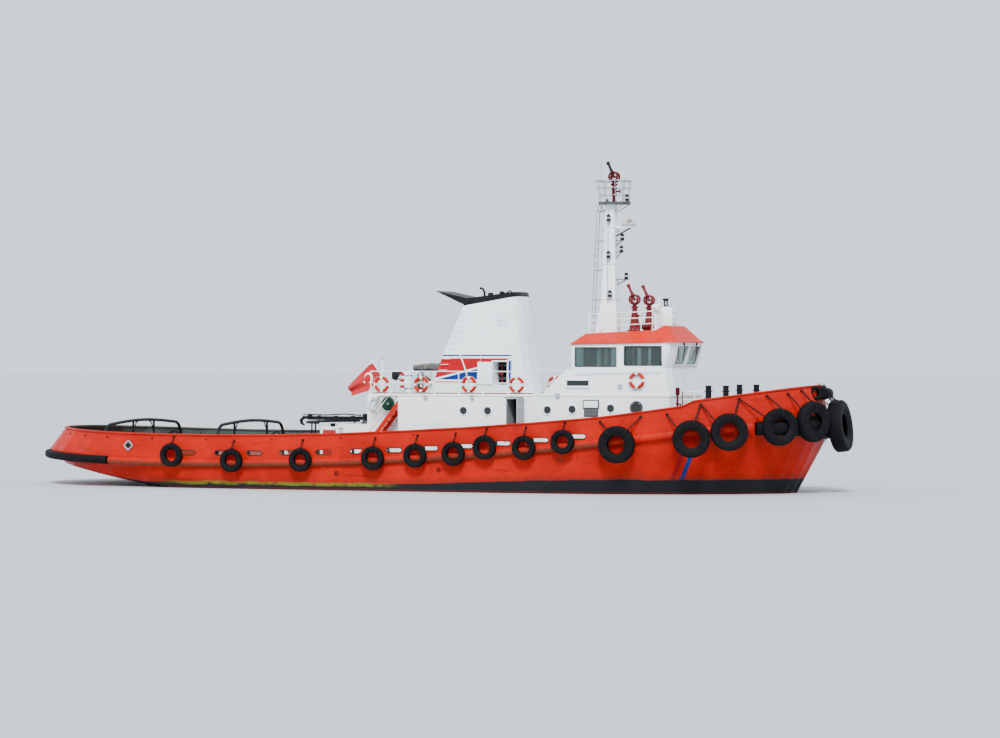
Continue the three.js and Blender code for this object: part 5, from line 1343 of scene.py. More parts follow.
def make_flag():
    """The ensign hangs from its slanting staff in soft folds."""
    upper = [(0.0, (-2.94, 5.385)), (0.15, (-3.12, 5.32)), (1.0, (-4.16, 4.36))]
    lower = [(0.0, (-2.52, 4.815)), (0.6, (-3.16, 4.16)), (1.0, (-3.90, 3.97))]

    def along(rows, u):
        return Vector((table_at([(s, p[0]) for s, p in rows], u), table_at([(s, p[1]) for s, p in rows], u)))

    def at(u, v):
        flat = along(upper, u).lerp(along(lower, u), v)
        grow = u ** 0.7
        wave = 0.075 * grow * sin(9.5 * v + 2.2 * u) + 0.045 * grow * sin(5.2 * u + 1.0)
        return (flat.x, wave, flat.y)

    flag = grid_sheet("ensign", 60, 32, at, "flag")
    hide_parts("flag")
    ties = Piece("ensign_ties")
    for x, z in ((-2.925, 5.39), (-2.72, 5.10), (-2.505, 4.82)):
        ties.tube(arc((x + 0.012, 0, z), 0.033, 0, 330, 10, "xy"), 0.006, "rope", 6, closed=True)
    ties.ball((-3.085, 0, 5.63), 0.035, "white")
    ties.done()


def make_stair_rails():
    rails = Piece("stair_rails")
    for y in (-2.18, -1.52):
        rails.tube([(-2.52, y, 1.75), (-2.52, y, 2.50), (-0.98, y, 4.39), (-0.75, y, 4.9)], 0.018, "white",
                   10)
        rails.rod((-1.75, y, 2.55), (-1.75, y, 3.44), 0.016, "white", 8)
    rails.done()


def make_deck_reels():
    """The reel and the hose in the recess beside the stair."""
    reels = Piece("deck_reels")
    face = BACK_WALL_Y
    reels.turned([(0.0, 0.0), (0.28, 0.0), (0.30, 0.02), (0.30, 0.05), (0.27, 0.06), (0.0, 0.06)],
                 (-1.57, face - 0.2, 3.65), (0, -1, 0), "green", 32)
    reels.cap(0.12, 0.02, -0.2, (-1.57, face - 0.2, 3.65), (0, -1, 0), "grey", 16)
    reels.turned([(0.0, 0.07), (0.05, 0.07), (0.06, 0.05)], (-1.57, face - 0.2, 3.65), (0, -1, 0), "grey", 12)
    for k in range(6):
        ring = arc((-2.27, face - 0.035 - 0.02 * (k % 3), 3.61), 0.33 - 0.022 * k, 0, 360, 30)[:-1]
        reels.tube(ring, 0.023, "hose_white", 8, closed=True)
    reels.box((-2.36, face - 0.04, 3.40), (-2.18, face, 3.82), "white", bevel=0.015)
    reels.cap(0.05, 0.0, 0.06, (-2.27, face, 3.61), (0, -1, 0), "steel", 12)
    reels.done()


# Funnel: stripes, rungs, pipe, door frame

FUNNEL_BASE_Z, FUNNEL_LEAN, FUNNEL_HALF = 4.1003, 0.055, 1.3
FUNNEL_AFT = [(FUNNEL_BASE_Z, 0.25), (5.75, 0.83), (7.86, 1.72)]


def on_funnel(x, z, side, off=0.0):
    """A point on the funnel's flat side."""
    return Vector((x, side * (FUNNEL_HALF - FUNNEL_LEAN * (z - FUNNEL_BASE_Z) + off), z))


def aft_edge(z):
    return table_at(FUNNEL_AFT, z)


def stripe(piece, outline, side, key, off=0.004):
    """A thin painted patch on the funnel's side. The outline is in X and Z."""
    front = [on_funnel(x, z, side, off) for x, z in outline]
    back = [on_funnel(x, z, side, -0.01) for x, z in outline]
    piece.loft([back, front], key, smooth=False)


def make_funnel_stripes():
    """The funnel's red and blue fields and lines, the same on both sides."""
    stripes = Piece("funnel_stripes")
    for _, side in SIDES:
        low, high, corner = aft_edge(4.70), aft_edge(5.61), 3.98
        rise = (5.59 - 4.70) / (corner - low)
        door_z = 4.70 + rise * (3.06 - low)
        stripe(stripes, [(aft_edge(5.70), 5.70), (corner, 5.70), (corner, 5.76), (aft_edge(5.76), 5.76)],
               side, "blue")
        stripe(stripes, [(aft_edge(4.76), 4.76), (3.06, door_z + 0.035), (3.06, 5.61), (high, 5.61)], side,
               "flex_red")
        stripe(stripes, [(3.06, 5.49), (3.62, 5.49), (corner - 0.02, 5.61), (3.06, 5.61)], side, "flex_red")
        stripe(stripes, [(low + 0.12, 4.70), (3.06, 4.70), (3.06, door_z - 0.035)], side, "blue")
        stripe(stripes, [(3.84, 4.62), (corner, 4.62), (corner, 5.53), (3.84, 5.49)], side, "blue")
        stripe(stripes, [(aft_edge(4.56), 4.56), (3.06, 4.56), (3.06, 4.62), (aft_edge(4.62), 4.62)], side,
               "flex_red")
    stripes.done()


def make_funnel_fittings():
    """Rungs, pipes and seams on both sides, and the frame of the recess."""
    fittings = Piece("funnel_fittings")
    for _, side in SIDES:
        for k in range(11):
            z = 5.1 + 0.245 * k
            x = aft_edge(z) + 0.10
            a, b = on_funnel(x, z, side), on_funnel(x + 0.32, z, side)
            out = Vector((0, side * 0.10, 0))
            fittings.tube([a - out * 0.1, a + out, b + out, b - out * 0.1], 0.012, "white", 8)
        fittings.tube([on_funnel(1.60, 5.84, side, 0.0), on_funnel(1.65, 5.75, side, 0.05),
                       on_funnel(1.95, 4.98, side, 0.05), on_funnel(1.98, 4.2, side, 0.04)], 0.028, "white",
                      10)
        for x in (2.55, 3.95):
            fittings.tube([on_funnel(x, z, side, 0.002) for z in (4.15, 6.0, 7.85)], 0.007, "white", 4)
        add_vent(fittings, side)
        fittings.tube([on_funnel(2.9, 7.66, side, 0.01), on_funnel(2.9, 6.2, side, 0.01)], 0.014, "white", 6)
    for x0, x1, z0, z1 in ((3.06, 3.12, 4.42, 5.52), (3.78, 3.84, 4.42, 5.52), (3.06, 3.84, 5.46, 5.52),
                           (3.06, 3.84, 4.42, 4.48)):
        add_leaning_bar(fittings, x0, x1, z0, z1, -1)
    fittings.done()


def make_funnel_inside():
    gear = Piece("funnel_inside")
    for z in (4.75, 5.05, 5.3):
        gear.tube([(3.2, -0.62, z), (3.7, -0.62, z)], 0.05, "dark_grey", 12)
    gear.tube([(3.35, -0.66, 4.5), (3.35, -0.66, 5.4)], 0.04, "red", 12)
    gear.turned([(0.0, 0.0), (0.11, 0.0), (0.12, 0.015), (0.11, 0.03), (0.0, 0.03)], (3.35, -0.75, 5.0),
                (0, -1, 0), "red", 24)
    # A black sheet at the back of the recess: painted shade of its dark inside.
    gear.box((3.125, -0.515, 4.485), (3.775, -0.505, 5.455), "dark")
    gear.done()


def make_cowl_fittings():
    """Pipes and small fittings on the black cowl."""
    top = Piece("cowl_fittings")
    top.tube([(2.4, -0.30, 8.15), (2.4, -0.30, 8.45), (2.32, -0.30, 8.6), (2.18, -0.30, 8.64)], 0.05, "black",
             12)
    for x, y, z in ((2.70, -0.35, 8.42), (3.00, 0.30, 8.45)):
        top.turned([(0.09, -0.3), (0.118, -0.3), (0.118, 0.012), (0.09, 0.012)], (x, y, z), UP, "dark", 20,
                   closed=True)
        top.turned([(0.112, -0.28), (0.135, -0.27), (0.135, -0.22), (0.112, -0.21)], (x, y, z), UP, "black",
                   20, closed=True)
    top.tube([(3.6, -0.8, 8.1), (3.6, -0.8, 8.42), (3.75, -0.8, 8.5), (3.85, -0.8, 8.42)], 0.035, "black", 10)
    top.ball((3.3, -0.6, 8.44), 0.08, "black", (1.3, 1, 0.7))
    top.rod((3.3, -0.6, 8.1), (3.3, -0.6, 8.42), 0.03, "black", 8)
    top.done()


def add_leaning_bar(piece, x0, x1, z0, z1, side):
    front = [on_funnel(x, z, side, 0.012) for x, z in ((x0, z0), (x1, z0), (x1, z1), (x0, z1))]
    back = [on_funnel(x, z, side, -0.01) for x, z in ((x0, z0), (x1, z0), (x1, z1), (x0, z1))]
    piece.loft([back, front], "white", smooth=False)


def add_vent(piece, side):
    """A louvre high on the funnel's side, forward."""
    for k in range(5):
        z = 7.05 + 0.07 * k
        ends = []
        for x in (3.3, 3.75):
            a = on_funnel(x, z, side)
            ends.append([a, a + Vector((0, side * 0.03, -0.02)), a + Vector((0, side * 0.03, -0.01)),
                         a + Vector((0, 0, 0.012))])
        piece.loft(ends, "white", smooth=False)


# The wheelhouse roof: rails, monitors, searchlight, cabinet and cleats

ROOF_TOP = [(7.03, 6.23), (7.37, 6.66), (10.45, 6.80), (10.78, 6.99), (10.99, 6.96), (11.26, 6.65),
            (11.5, 6.38), (11.64, 6.32)]
MONITOR_X, MONITOR_Y, MONITOR_RING = 9.42, 1.0, 8.09
MAST_MONITOR_X, MAST_MONITOR_RING = 8.18, 13.33
BASKET_FLOOR, BASKET_TOP = 12.25, 13.15
MONITOR_LEAN = 25
SEARCHLIGHT = (10.25, -0.70, 7.72)


def roof_z(x):
    return table_at(ROOF_TOP, x)


def add_pedestal(piece, x, y, low, ring_z, key):
    """A flanged cone that carries a monitor."""
    high = ring_z - 0.33 - low
    piece.turned([(0.0, 0.0), (0.27, 0.0), (0.27, 0.03), (0.235, 0.05), (0.16, 0.55 * high),
                  (0.105, high - 0.08), (0.105, high - 0.05), (0.15, high - 0.045), (0.15, high - 0.002),
                  (0.0, high - 0.002)], (x, y, low), UP, key, 32)
    for t in turns(8):
        piece.cap(0.018, -0.02, 0.02, (x + 0.25 * cos(t), y + 0.25 * sin(t), low + 0.04), UP, "steel", 6)


def add_handwheel(piece, place, axis, radius, key):
    place = Vector(place)
    axis, side, up = axes_about(axis)
    rim = [place + (side * cos(t) + up * sin(t)) * radius
           for t in turns(20)]
    piece.tube(rim, 0.012, key, 6, closed=True)
    for k in range(3):
        t = pi * k / 3
        arm = (side * cos(t) + up * sin(t)) * radius
        piece.rod(place - arm, place + arm, 0.008, key, 6)
    piece.rod(place, place - axis * 0.16, 0.016, key, 8)


def make_swivel(name, x, y, ring_z, key):
    swivel = Piece(f"monitor_head_{name}")
    place = Vector((x, y, ring_z))
    swivel.turned([(0.0, -0.329), (0.15, -0.329), (0.15, -0.29), (0.10, -0.285), (0.085, -0.24),
                   (0.0, -0.24)], place, UP, key, 24)
    for out in (-1, 1):
        centre = (x, y + out * 0.152, ring_z)
        ring = arc(centre, 0.185, 0, 360, 32)[:-1]
        swivel.tube(ring, 0.043, key, 12, closed=True)
        swivel.tube([(x, y + out * 0.03, ring_z - 0.27), (x, y + out * 0.12, ring_z - 0.26),
                     (x, y + out * 0.152, ring_z - 0.20)], 0.05, key, 12)
        swivel.turned([(0.0, 0.03), (0.04, 0.03), (0.045, -0.012), (0.0, -0.012)], centre, (0, out, 0), key,
                      20)
        for spoke in (0, 180):
            t = radians(spoke)
            swivel.rod(centre, (x + 0.17 * cos(t), centre[1], ring_z + 0.17 * sin(t)), 0.016, key,
                       8)
    add_handwheel(swivel, (x - 0.02, y - 0.30, ring_z - 0.10), (0, -1, 0), 0.10, key)
    swivel.rod((x - 0.02, y - 0.19, ring_z - 0.10), (x - 0.02, y - 0.28, ring_z - 0.10), 0.02, key, 8)
    swivel.done(body=f"monitor_swivel_{name}", replaces=[f"monitor_swivel_{name}"])


def make_barrel(name, x, y, ring_z, key):
    barrel = Piece(f"monitor_gun_{name}")
    place = Vector((x, y, ring_z))
    lean = radians(MONITOR_LEAN)
    along = Vector((-sin(lean), 0, cos(lean)))
    barrel.turned([(0.0, -0.12), (0.045, -0.12), (0.05, -0.10), (0.05, 0.10), (0.045, 0.12), (0.0, 0.12)],
                  place, ABEAM, key, 24)
    for out in (-0.085, 0.085):
        barrel.tube([place + Vector((0, out, 0)), place + along * 0.13 + Vector((0, out, 0)),
                     place + along * 0.24 + Vector((0, out * 0.4, 0))], 0.026, key, 10)
    barrel.turned([(0.0, 0.17), (0.06, 0.17), (0.075, 0.20), (0.095, 0.205), (0.095, 0.24), (0.070, 0.25),
                   (0.060, 0.42), (0.056, 0.56), (0.072, 0.58), (0.080, 0.62), (0.080, 0.698), (0.055, 0.698),
                   (0.050, 0.62), (0.0, 0.61)], place, along, "barrel" if name == "mast" else key, 24)
    barrel.tube([place + along * 0.2 + Vector((0, 0.05, 0)), place + along * 0.28 + Vector((0, 0.13, 0)),
                 place + along * 0.40 + Vector((0, 0.13, 0))], 0.010, "dark", 6)
    barrel.done(body=f"monitor_barrel_{name}", replaces=[f"monitor_barrel_{name}"])


def make_monitor_stands():
    base = Piece("monitor_stands")
    low = roof_z(MONITOR_X) + 0.03
    pipe_z = roof_z(MONITOR_X) + 0.22
    for side in (-1, 1):
        add_pedestal(base, MONITOR_X, side * MONITOR_Y, low, MONITOR_RING, "red")
        base.box((MONITOR_X - 0.26, side * MONITOR_Y - 0.26, low - 0.03),
                 (MONITOR_X + 0.26, side * MONITOR_Y + 0.26, low + 0.02), "red", bevel=0.01)
        add_handwheel(base, (MONITOR_X + 0.30, side * MONITOR_Y, low + 0.62), AHEAD, 0.12, "red")
        base.rod((MONITOR_X + 0.05, side * MONITOR_Y, low + 0.62),
                 (MONITOR_X + 0.2, side * MONITOR_Y, low + 0.62), 0.05, "red", 12)
        for y in (0.30, 0.62):
            base.turned([(0.11, -0.02), (0.15, -0.02), (0.15, 0.02), (0.11, 0.02)],
                        (MONITOR_X, side * y, pipe_z), ABEAM, "red", 20, closed=True)
    base.rod((MONITOR_X, -MONITOR_Y, pipe_z), (MONITOR_X, MONITOR_Y, pipe_z), 0.11, "red", 20)
    base.done(replaces=["monitor_pedestals"])


def make_monitors():
    for row in (("port", MONITOR_X, MONITOR_Y, MONITOR_RING, "red"),
                ("starboard", MONITOR_X, -MONITOR_Y, MONITOR_RING, "red"),
                ("mast", MAST_MONITOR_X, 0.0, MAST_MONITOR_RING, "mast_red")):
        make_swivel(*row)
        make_barrel(*row)


def make_roof_rails():
    for name, side in SIDES:
        rail = Piece(f"roof_rail_{name}")
        y = side * 1.29
        for height in (0.28, 0.54, 0.80):
            path = [(7.50, y, roof_z(7.50) + height), (8.9, y, roof_z(8.9) + height),
                    (10.35, y, roof_z(10.35) + height)]
            rail.tube(path, 0.018, "white", 10)
        rail.tube([(7.52, y, roof_z(7.52) + 0.8), (7.46, y, roof_z(7.5) + 0.7), (7.46, y, roof_z(7.5) + 0.28),
                   (7.5, y, roof_z(7.5) + 0.02)], 0.018, "white", 10)
        for x in (7.56, 8.70, 9.80, 10.30):
            rail.rod((x, y, roof_z(x)), (x, y, roof_z(x) + 0.80), 0.020, "white", 10)
            rail.turned([(0.0, 0.03), (0.03, 0.03), (0.05, 0.012), (0.05, 0.0)], (x, y, roof_z(x)), UP,
                        "white", 12)
        rail.done(replaces=[f"roof_railing_{name}"])


def make_roof_gear():
    """The cabinet with its two horns, the whip, the cleats along the eaves and a ventilator."""
    gear = Piece("roof_gear")
    gear.box((10.40, -0.34, 6.85), (10.85, 0.34, 7.77), "white", bevel=0.03)
    for z in (7.05, 7.55):
        gear.box((10.39, -0.30, z), (10.86, 0.30, z + 0.02), "grey")
    gear.box((10.52, -0.10, 7.76), (10.70, 0.10, 7.84), "grey", bevel=0.01)
    for y in (-0.18, 0.18):
        gear.turned([(0.0, 0.0), (0.05, 0.0), (0.05, 0.06), (0.03, 0.10), (0.035, 0.22), (0.10, 0.34),
                     (0.085, 0.34), (0.0, 0.24)], (10.50, y, 7.80), (-0.1, 0, 1), "dark", 20)
    gear.rod((10.64, -1.29, 7.50), (10.58, -1.29, 8.45), 0.018, "white", 8)
    gear.rod((10.58, -1.29, 8.45), (10.48, -1.29, 9.63), 0.008, "grey", 6)
    for x in (7.75, 8.55, 9.35, 10.15, 10.95):
        for side in (-1, 1):
            y = side * 2.30
            z = 6.20 + 0.02 * (x - 7.1) + (roof_z(x) - 6.2) * 0.12
            gear.tube([(x - 0.09, y, z), (x - 0.07, y, z + 0.07), (x + 0.07, y, z + 0.07), (x + 0.09, y, z)],
                      0.011, "roof", 8)
    gear.turned([(0.0, 0.20), (0.07, 0.20), (0.10, 0.17), (0.10, 0.11), (0.05, 0.10), (0.05, -0.05)],
                (7.9, -0.9, roof_z(7.9)), UP, "white", 18)
    gear.done()


def make_searchlight():
    lamp = Piece("searchlight_lamp")
    x, y, z = SEARCHLIGHT
    lamp.turned([(0.0, -0.168), (0.08, -0.166), (0.135, -0.14), (0.160, -0.05), (0.182, 0.10), (0.190, 0.11),
                 (0.190, 0.169), (0.170, 0.169), (0.165, 0.13), (0.0, 0.13)], (x + 0.02, y, z), AHEAD,
                "white", 32)
    lamp.turned([(0.163, 0.135), (0.10, 0.150), (0.0, 0.155)], (x + 0.02, y, z), AHEAD, "lens", 32)
    yoke = arc((x, y, z), 0.205, 180, 360, 20, "yz")
    lamp.tube(yoke, 0.016, "white", 8)
    for side in (-1, 1):
        lamp.cap(0.03, -0.04, 0.02, (x, y + side * 0.205, z), (0, side, 0),
                    "dark_grey", 12)
    lamp.turned([(0.0, -0.319), (0.05, -0.319), (0.05, -0.26), (0.03, -0.24), (0.03, -0.20)], (x, y, z), UP,
                "white", 16)
    for k in range(4):
        lamp.turned([(0.10 + 0.012 * k, -0.135 + 0.025 * k), (0.155 + 0.006 * k, -0.130 + 0.025 * k),
                     (0.155 + 0.006 * k, -0.122 + 0.025 * k), (0.10 + 0.012 * k, -0.127 + 0.025 * k)],
                    (x + 0.02, y, z), AHEAD, "white", 24, closed=True)
    lamp.done(body="searchlight", replaces=["searchlight"])


# Mast: ladder, lamps, radar, basket and whips

MAST_AFT = [(6.7, 7.61), (7.7, 7.64), (7.95, 7.69), (12.15, 7.88)]
MAST_FORE = [(6.7, 8.36), (7.95, 8.33), (12.15, 8.24)]
MAST_HALF = [(6.7, 0.29), (7.95, 0.28), (12.15, 0.24)]


def add_mast_lamp(piece, place, shelf_from):
    """A navigation lamp: a dark body with a clear band, on a shelf."""
    x, y, z = place
    low, high = min(shelf_from, x), max(shelf_from, x)
    piece.box((low - 0.03, y - 0.09, z - 0.16), (high + 0.10, y + 0.09, z - 0.13), "dark_grey")
    piece.turned([(0.0, -0.13), (0.085, -0.13), (0.09, -0.04), (0.07, -0.035), (0.0, -0.035)], place, UP,
                 "dark", 16)
    piece.turned([(0.0, -0.036), (0.072, -0.036), (0.074, 0.0), (0.072, 0.035), (0.0, 0.035)], place, UP,
                 "lens", 16)
    piece.turned([(0.0, 0.034), (0.09, 0.034), (0.08, 0.10), (0.03, 0.15), (0.0, 0.15)], place, UP, "dark",
                 16)


def make_mast_fittings():
    """Ladder, navigation lamps, seams, cables and yards, and the housing under the scanner."""
    gear = Piece("mast_fittings")
    low, high = Vector((7.22, 0, 6.81)), Vector((7.47, 0, 11.87))
    for y in (-0.21, 0.21):
        gear.tube([low + Vector((0, y, -0.15)), high + Vector((0, y, 0)), high + Vector((0.12, y, 0.30)),
                   (7.64, y, 12.20)], 0.022, "pale_grey", 8)
    for k in range(17):
        rung = low.lerp(high, k / 16)
        gear.rod(rung + Vector((0, -0.21, 0)), rung + Vector((0, 0.21, 0)), 0.015, "pale_grey", 6)
    for z in (11.87, 10.6, 9.35, 8.1, 7.1):
        x = low.x + (high.x - low.x) * (z - low.z) / (high.z - low.z)
        for y in (-0.21, 0.21):
            gear.rod((x, y, z), (table_at(MAST_AFT, z) + 0.02, y, z + 0.02), 0.02, "pale_grey", 6)
    for x, z in ((8.04, 11.58), (8.04, 10.02), (8.11, 8.36)):
        for side in (-1, 1):
            half = table_at(MAST_HALF, z)
            add_mast_lamp(gear, (x, side * (half + 0.10), z), x - 0.06)
            gear.rod((x, side * (half - 0.01), z - 0.137), (x, side * (half + 0.12), z - 0.137), 0.012,
                     "white", 6)
    for x, z in ((8.54, 10.77), (8.50, 10.26), (8.72, 9.11)):
        add_mast_lamp(gear, (x, 0, z), table_at(MAST_FORE, z))
        gear.rod((x, 0, z - 0.15), (table_at(MAST_FORE, z - 0.4) - 0.01, 0, z - 0.38), 0.022, "dark_grey", 6)
    gear.box((8.54, -0.20, 11.252), (9.10, 0.20, 11.375), "radome", bevel=0.045)
    gear.rod((8.93, 0, 11.16), (8.26, 0, 10.80), 0.035, "dark_grey", 8)
    for z in (11.15, 9.6, 8.1):
        aft, fore, half = (table_at(rows, z) for rows in (MAST_AFT, MAST_FORE, MAST_HALF))
        gear.box((aft - 0.006, -half - 0.006, z), (fore + 0.006, half + 0.006, z + 0.02), "grey")
    for side in (-1, 1):
        y = side * 0.262
        gear.tube([(8.0, y, 11.9), (7.98, side * 0.283, 9.0), (7.97, side * 0.29, 7.96)], 0.010, "dark_grey",
                  6)
        gear.tube([(7.92, y, 9.6), (7.88, side * 0.279, 8.4)], 0.006, "white", 4)
        gear.rod((8.02, side * 0.15, 11.0), (8.02, side * 1.15, 11.02), 0.016, "white", 8)
        gear.rod((8.02, side * 0.26, 10.7), (8.02, side * 0.9, 11.0), 0.012, "white", 8)
        gear.turned([(0.0, 0.12), (0.04, 0.12), (0.05, 0.0), (0.0, 0.0)], (8.02, side * 1.1, 11.02), UP,
                    "lens", 12)
    gear.done()


RADAR = (8.85, 0, 11.43)
SCANNER_SECTION = [(0.058, -0.03), (0.058, 0.02), (0.035, 0.055), (-0.035, 0.055), (-0.058, 0.02),
                   (-0.058, -0.03), (-0.035, -0.058), (0.035, -0.058)]
SCANNER_SIZES = [(-0.30, 0.6), (-0.28, 0.92), (-0.2, 1.0), (0.0, 1.0), (0.2, 1.0), (0.28, 0.92), (0.30, 0.6)]


def make_radar():
    radar = Piece("radar_bar")
    x, _, z = RADAR
    radar.turned([(0.0, -0.059), (0.065, -0.059), (0.05, -0.005), (0.0, -0.005)], RADAR, UP, "radome", 16)
    rings = [[(x + s * a, y, z + 0.05 + s * b) for a, b in SCANNER_SECTION] for y, s in SCANNER_SIZES]
    radar.loft(rings, "radome")
    radar.box((8.80, -0.27, 11.455), (8.912, 0.27, 11.475), "dark_grey")
    radar.done(body="radar_scanner", replaces=["radar_scanner"])


def make_basket():
    """The platform at the mast's top, its flared railing and the mast monitor's column."""
    basket = Piece("mast_basket")
    floor = [(7.62, -0.44), (7.70, -0.52), (8.70, -0.52), (8.78, -0.44), (8.78, 0.44), (8.70, 0.52),
             (7.70, 0.52), (7.62, 0.44)]
    basket.loft([[(x, y, 12.152) for x, y in floor], [(x, y, 12.25) for x, y in floor]], "dark_grey",
                smooth=False)
    low = rounded_loop(7.67, 8.73, -0.47, 0.47, 0.10)
    high = rounded_loop(7.52, 8.79, -0.58, 0.58, 0.12)

    def at(k, share):
        (x0, y0), (x1, y1) = low[k % len(low)], high[k % len(high)]
        return (x0 + (x1 - x0) * share, y0 + (y1 - y0) * share,
                BASKET_FLOOR + (BASKET_TOP - BASKET_FLOOR) * share)

    for share, thick in ((0.33, 0.016), (0.67, 0.016), (1.0, 0.026)):
        basket.tube([at(k, share) for k in range(len(low))], thick, "pale_grey", 10, closed=True)
    for k in range(2, len(low), 3):
        basket.rod(at(k, 0.0), at(k, 1.0), 0.018, "pale_grey", 8)
    for x in (8.0, 8.4):
        for side in (-1, 1):
            basket.rod((x, side * 0.47, BASKET_FLOOR), (x, side * 0.58, BASKET_TOP), 0.016, "pale_grey", 8)
    for side in (-1, 1):
        for x0, x1 in ((7.84, 7.66), (8.26, 8.72)):
            basket.rod((x0, side * 0.22, 11.85), (x1, side * 0.42, 12.155), 0.022, "pale_grey", 8)
    add_column(basket, MAST_MONITOR_X, BASKET_FLOOR - 0.002, MAST_MONITOR_RING)
    basket.box((8.74, -0.50, 12.20), (9.0, -0.24, 12.25), "dark_grey", bevel=0.01)
    add_mast_lamp(basket, (8.87, -0.36, 12.42), 8.85)
    basket.turned([(0.0, 0.16), (0.05, 0.16), (0.06, 0.10), (0.10, 0.04), (0.10, 0.0)],
                  (7.76, 0.3, BASKET_FLOOR), UP, "dark", 16)
    basket.rod((7.80, -0.53, 12.26), (7.78, -0.57, 13.95), 0.012, "pale_grey", 6)
    basket.done(replaces=["mast_platform"])


def add_column(piece, x, low, ring_z):
    """The mast monitor's slender riser, with a valve and its handwheel."""
    high = ring_z - 0.332 - low
    piece.turned([(0.0, 0.0), (0.17, 0.0), (0.17, 0.03), (0.085, 0.04), (0.085, 0.30), (0.13, 0.31),
                  (0.13, 0.37), (0.10, 0.38), (0.10, 0.55), (0.13, 0.56), (0.13, 0.60), (0.085, 0.61),
                  (0.085, high - 0.05), (0.14, high - 0.04), (0.14, high), (0.0, high)], (x, 0, low), UP,
                 "mast_red", 24)
    piece.rod((x, 0, low + 0.46), (x + 0.22, 0, low + 0.46), 0.035, "mast_red", 10)
    add_handwheel(piece, (x + 0.26, 0, low + 0.46), AHEAD, 0.09, "mast_red")


# Aft deck: arches, tow arm, deck gear and hatch

TOW_ARCHES = [("aft", -14.1, 3.78, 2.70, 2.85, 1.02), ("fore", -8.8, 3.48, 2.72, 2.85, 1.72)]


def arch_path(half, side_z, mid_z, low):
    bend = 0.62
    points = [(-half, low), (-half, side_z - bend)]
    for k in range(1, 7):
        t = radians(180 - 15 * k)
        points.append((-half + bend + bend * cos(t), side_z - bend + bend * sin(t)))
    for k in range(1, 6):
        share = k / 5
        y = (-half + bend) * (1 - share)
        points.append((y, side_z + (mid_z - side_z) * sin(share * pi / 2)))
    return points + [(-y, z) for y, z in reversed(points[:-1])]


def make_tow_arches():
    """Both arches with their feet, posts and braces."""
    for name, x, half, side_z, mid_z, post_y in TOW_ARCHES:
        arch = Piece(f"tow_arch_{name}_tube")
        low = sheer(x) + 0.02
        arch.tube([(x, y, z) for y, z in arch_path(half, side_z, mid_z, low)], 0.07, "black", 14)
        feet = [(x, -half), (x, half), (x, -post_y), (x, post_y), (x - 0.7, -half), (x - 0.7, half)]
        for fx, fy in feet:
            arch.turned([(0.0, 0.05), (0.11, 0.05), (0.13, 0.03), (0.13, -0.01), (0.0, -0.01)],
                        (fx, fy, sheer(fx)), UP, "black", 16)
        for side in (-1, 1):
            arch.rod((x, side * post_y, low), (x, side * post_y, mid_z - 0.04), 0.05, "black", 12)
            y = side * half
            arch.tube([(x - 0.72, y, low), (x - 0.70, y, 1.85), (x - 0.55, y, 2.16), (x - 0.30, y, 2.30),
                       (x, y, 2.02)], 0.045, "black", 10)
            arch.tube([(x, side * post_y, mid_z - 0.55), (x, side * (post_y - 0.28), mid_z - 0.12),
                       (x, side * (post_y - 0.55), mid_z - 0.03)], 0.03, "black", 8)
        arch.done(replaces=[f"tow_arch_{name}"])


def make_arm_fittings():
    arm = Piece("tow_arm_fittings")
    arm.turned([(0.0, 0.10), (0.20, 0.10), (0.22, 0.06), (0.22, 0.0), (0.19, -0.02)], (-3.2, 0, 3.08), UP,
               "black", 24)
    for x, wide in ((-3.9, 0.13), (-4.7, 0.12), (-5.5, 0.10)):
        arm.box((x - 0.06, -wide, 2.895), (x + 0.06, wide, 3.085), "dark", bevel=0.015)
    arm.tube([(-3.5, 0.05, 3.10), (-4.3, 0.06, 3.16), (-5.2, 0.04, 3.11), (-5.95, 0.0, 3.13)], 0.028, "chain",
             8)
    arm.box((-6.02, -0.09, 2.90), (-5.84, 0.09, 3.16), "black", bevel=0.02)
    arm.tube(arc((-6.16, 0, 3.08), 0.075, 0, 360, 14)[:-1], 0.022, "chain", 8, closed=True)
    arm.done(body="tow_arm")


def make_aft_deck_gear():
    """A post by the guide rail and, on both sides, a bollard, a ventilator and a lid as on the hose box."""
    deck = Piece("aft_deck_gear")
    deck.rod((-4.45, -0.9, 1.40), (-4.45, -0.9, 2.72), 0.10, "black", 16)
    deck.cap(0.13, -0.03, 0.03, (-4.45, -0.9, 2.74), UP, "black", 16)
    for side in (-1, 1):
        deck.rod((-13.2, side * 1.6, 1.35), (-13.2, side * 1.6, 2.05), 0.14, "black", 18)
        deck.cap(0.17, 0.0, 0.04, (-13.2, side * 1.6, 2.02), UP, "black", 18)
        side_box(deck, side, (-4.03, -3.14), (2.78, 3.32), (2.60, 2.66), "white", 0.015)
        deck.turned([(0.0, 0.55), (0.16, 0.55), (0.20, 0.50), (0.18, 0.38), (0.10, 0.36), (0.10, 0.0)],
                    (-5.6, side * 3.4, 1.33), UP, "white", 20)
    deck.done()


def make_hatch_dogs():
    hatch = Piece("hatch_dogs")
    for x in (-11.85, -11.5, -11.15):
        for side in (-1, 1):
            hatch.tube([(x, side * 0.62, 1.72), (x, side * 0.66, 1.79), (x, side * 0.52, 1.80)], 0.018,
                       "chain", 8)
    hatch.tube(arc((-11.5, 0, 1.78), 0.17, 0, 360, 20, "xy")[:-1], 0.014, "chain", 8, closed=True)
    hatch.rod((-11.5, 0, 1.77), (-11.5, 0, 1.80), 0.02, "chain", 8)
    hatch.done(body="hatch_lid")


# Foredeck, outlets in the hull and door fittings

BITTS_X, BITTS_Y = (13.05, 13.80), 2.3
WINDLASS_X, WINDLASS_Z = 15.4, 3.75


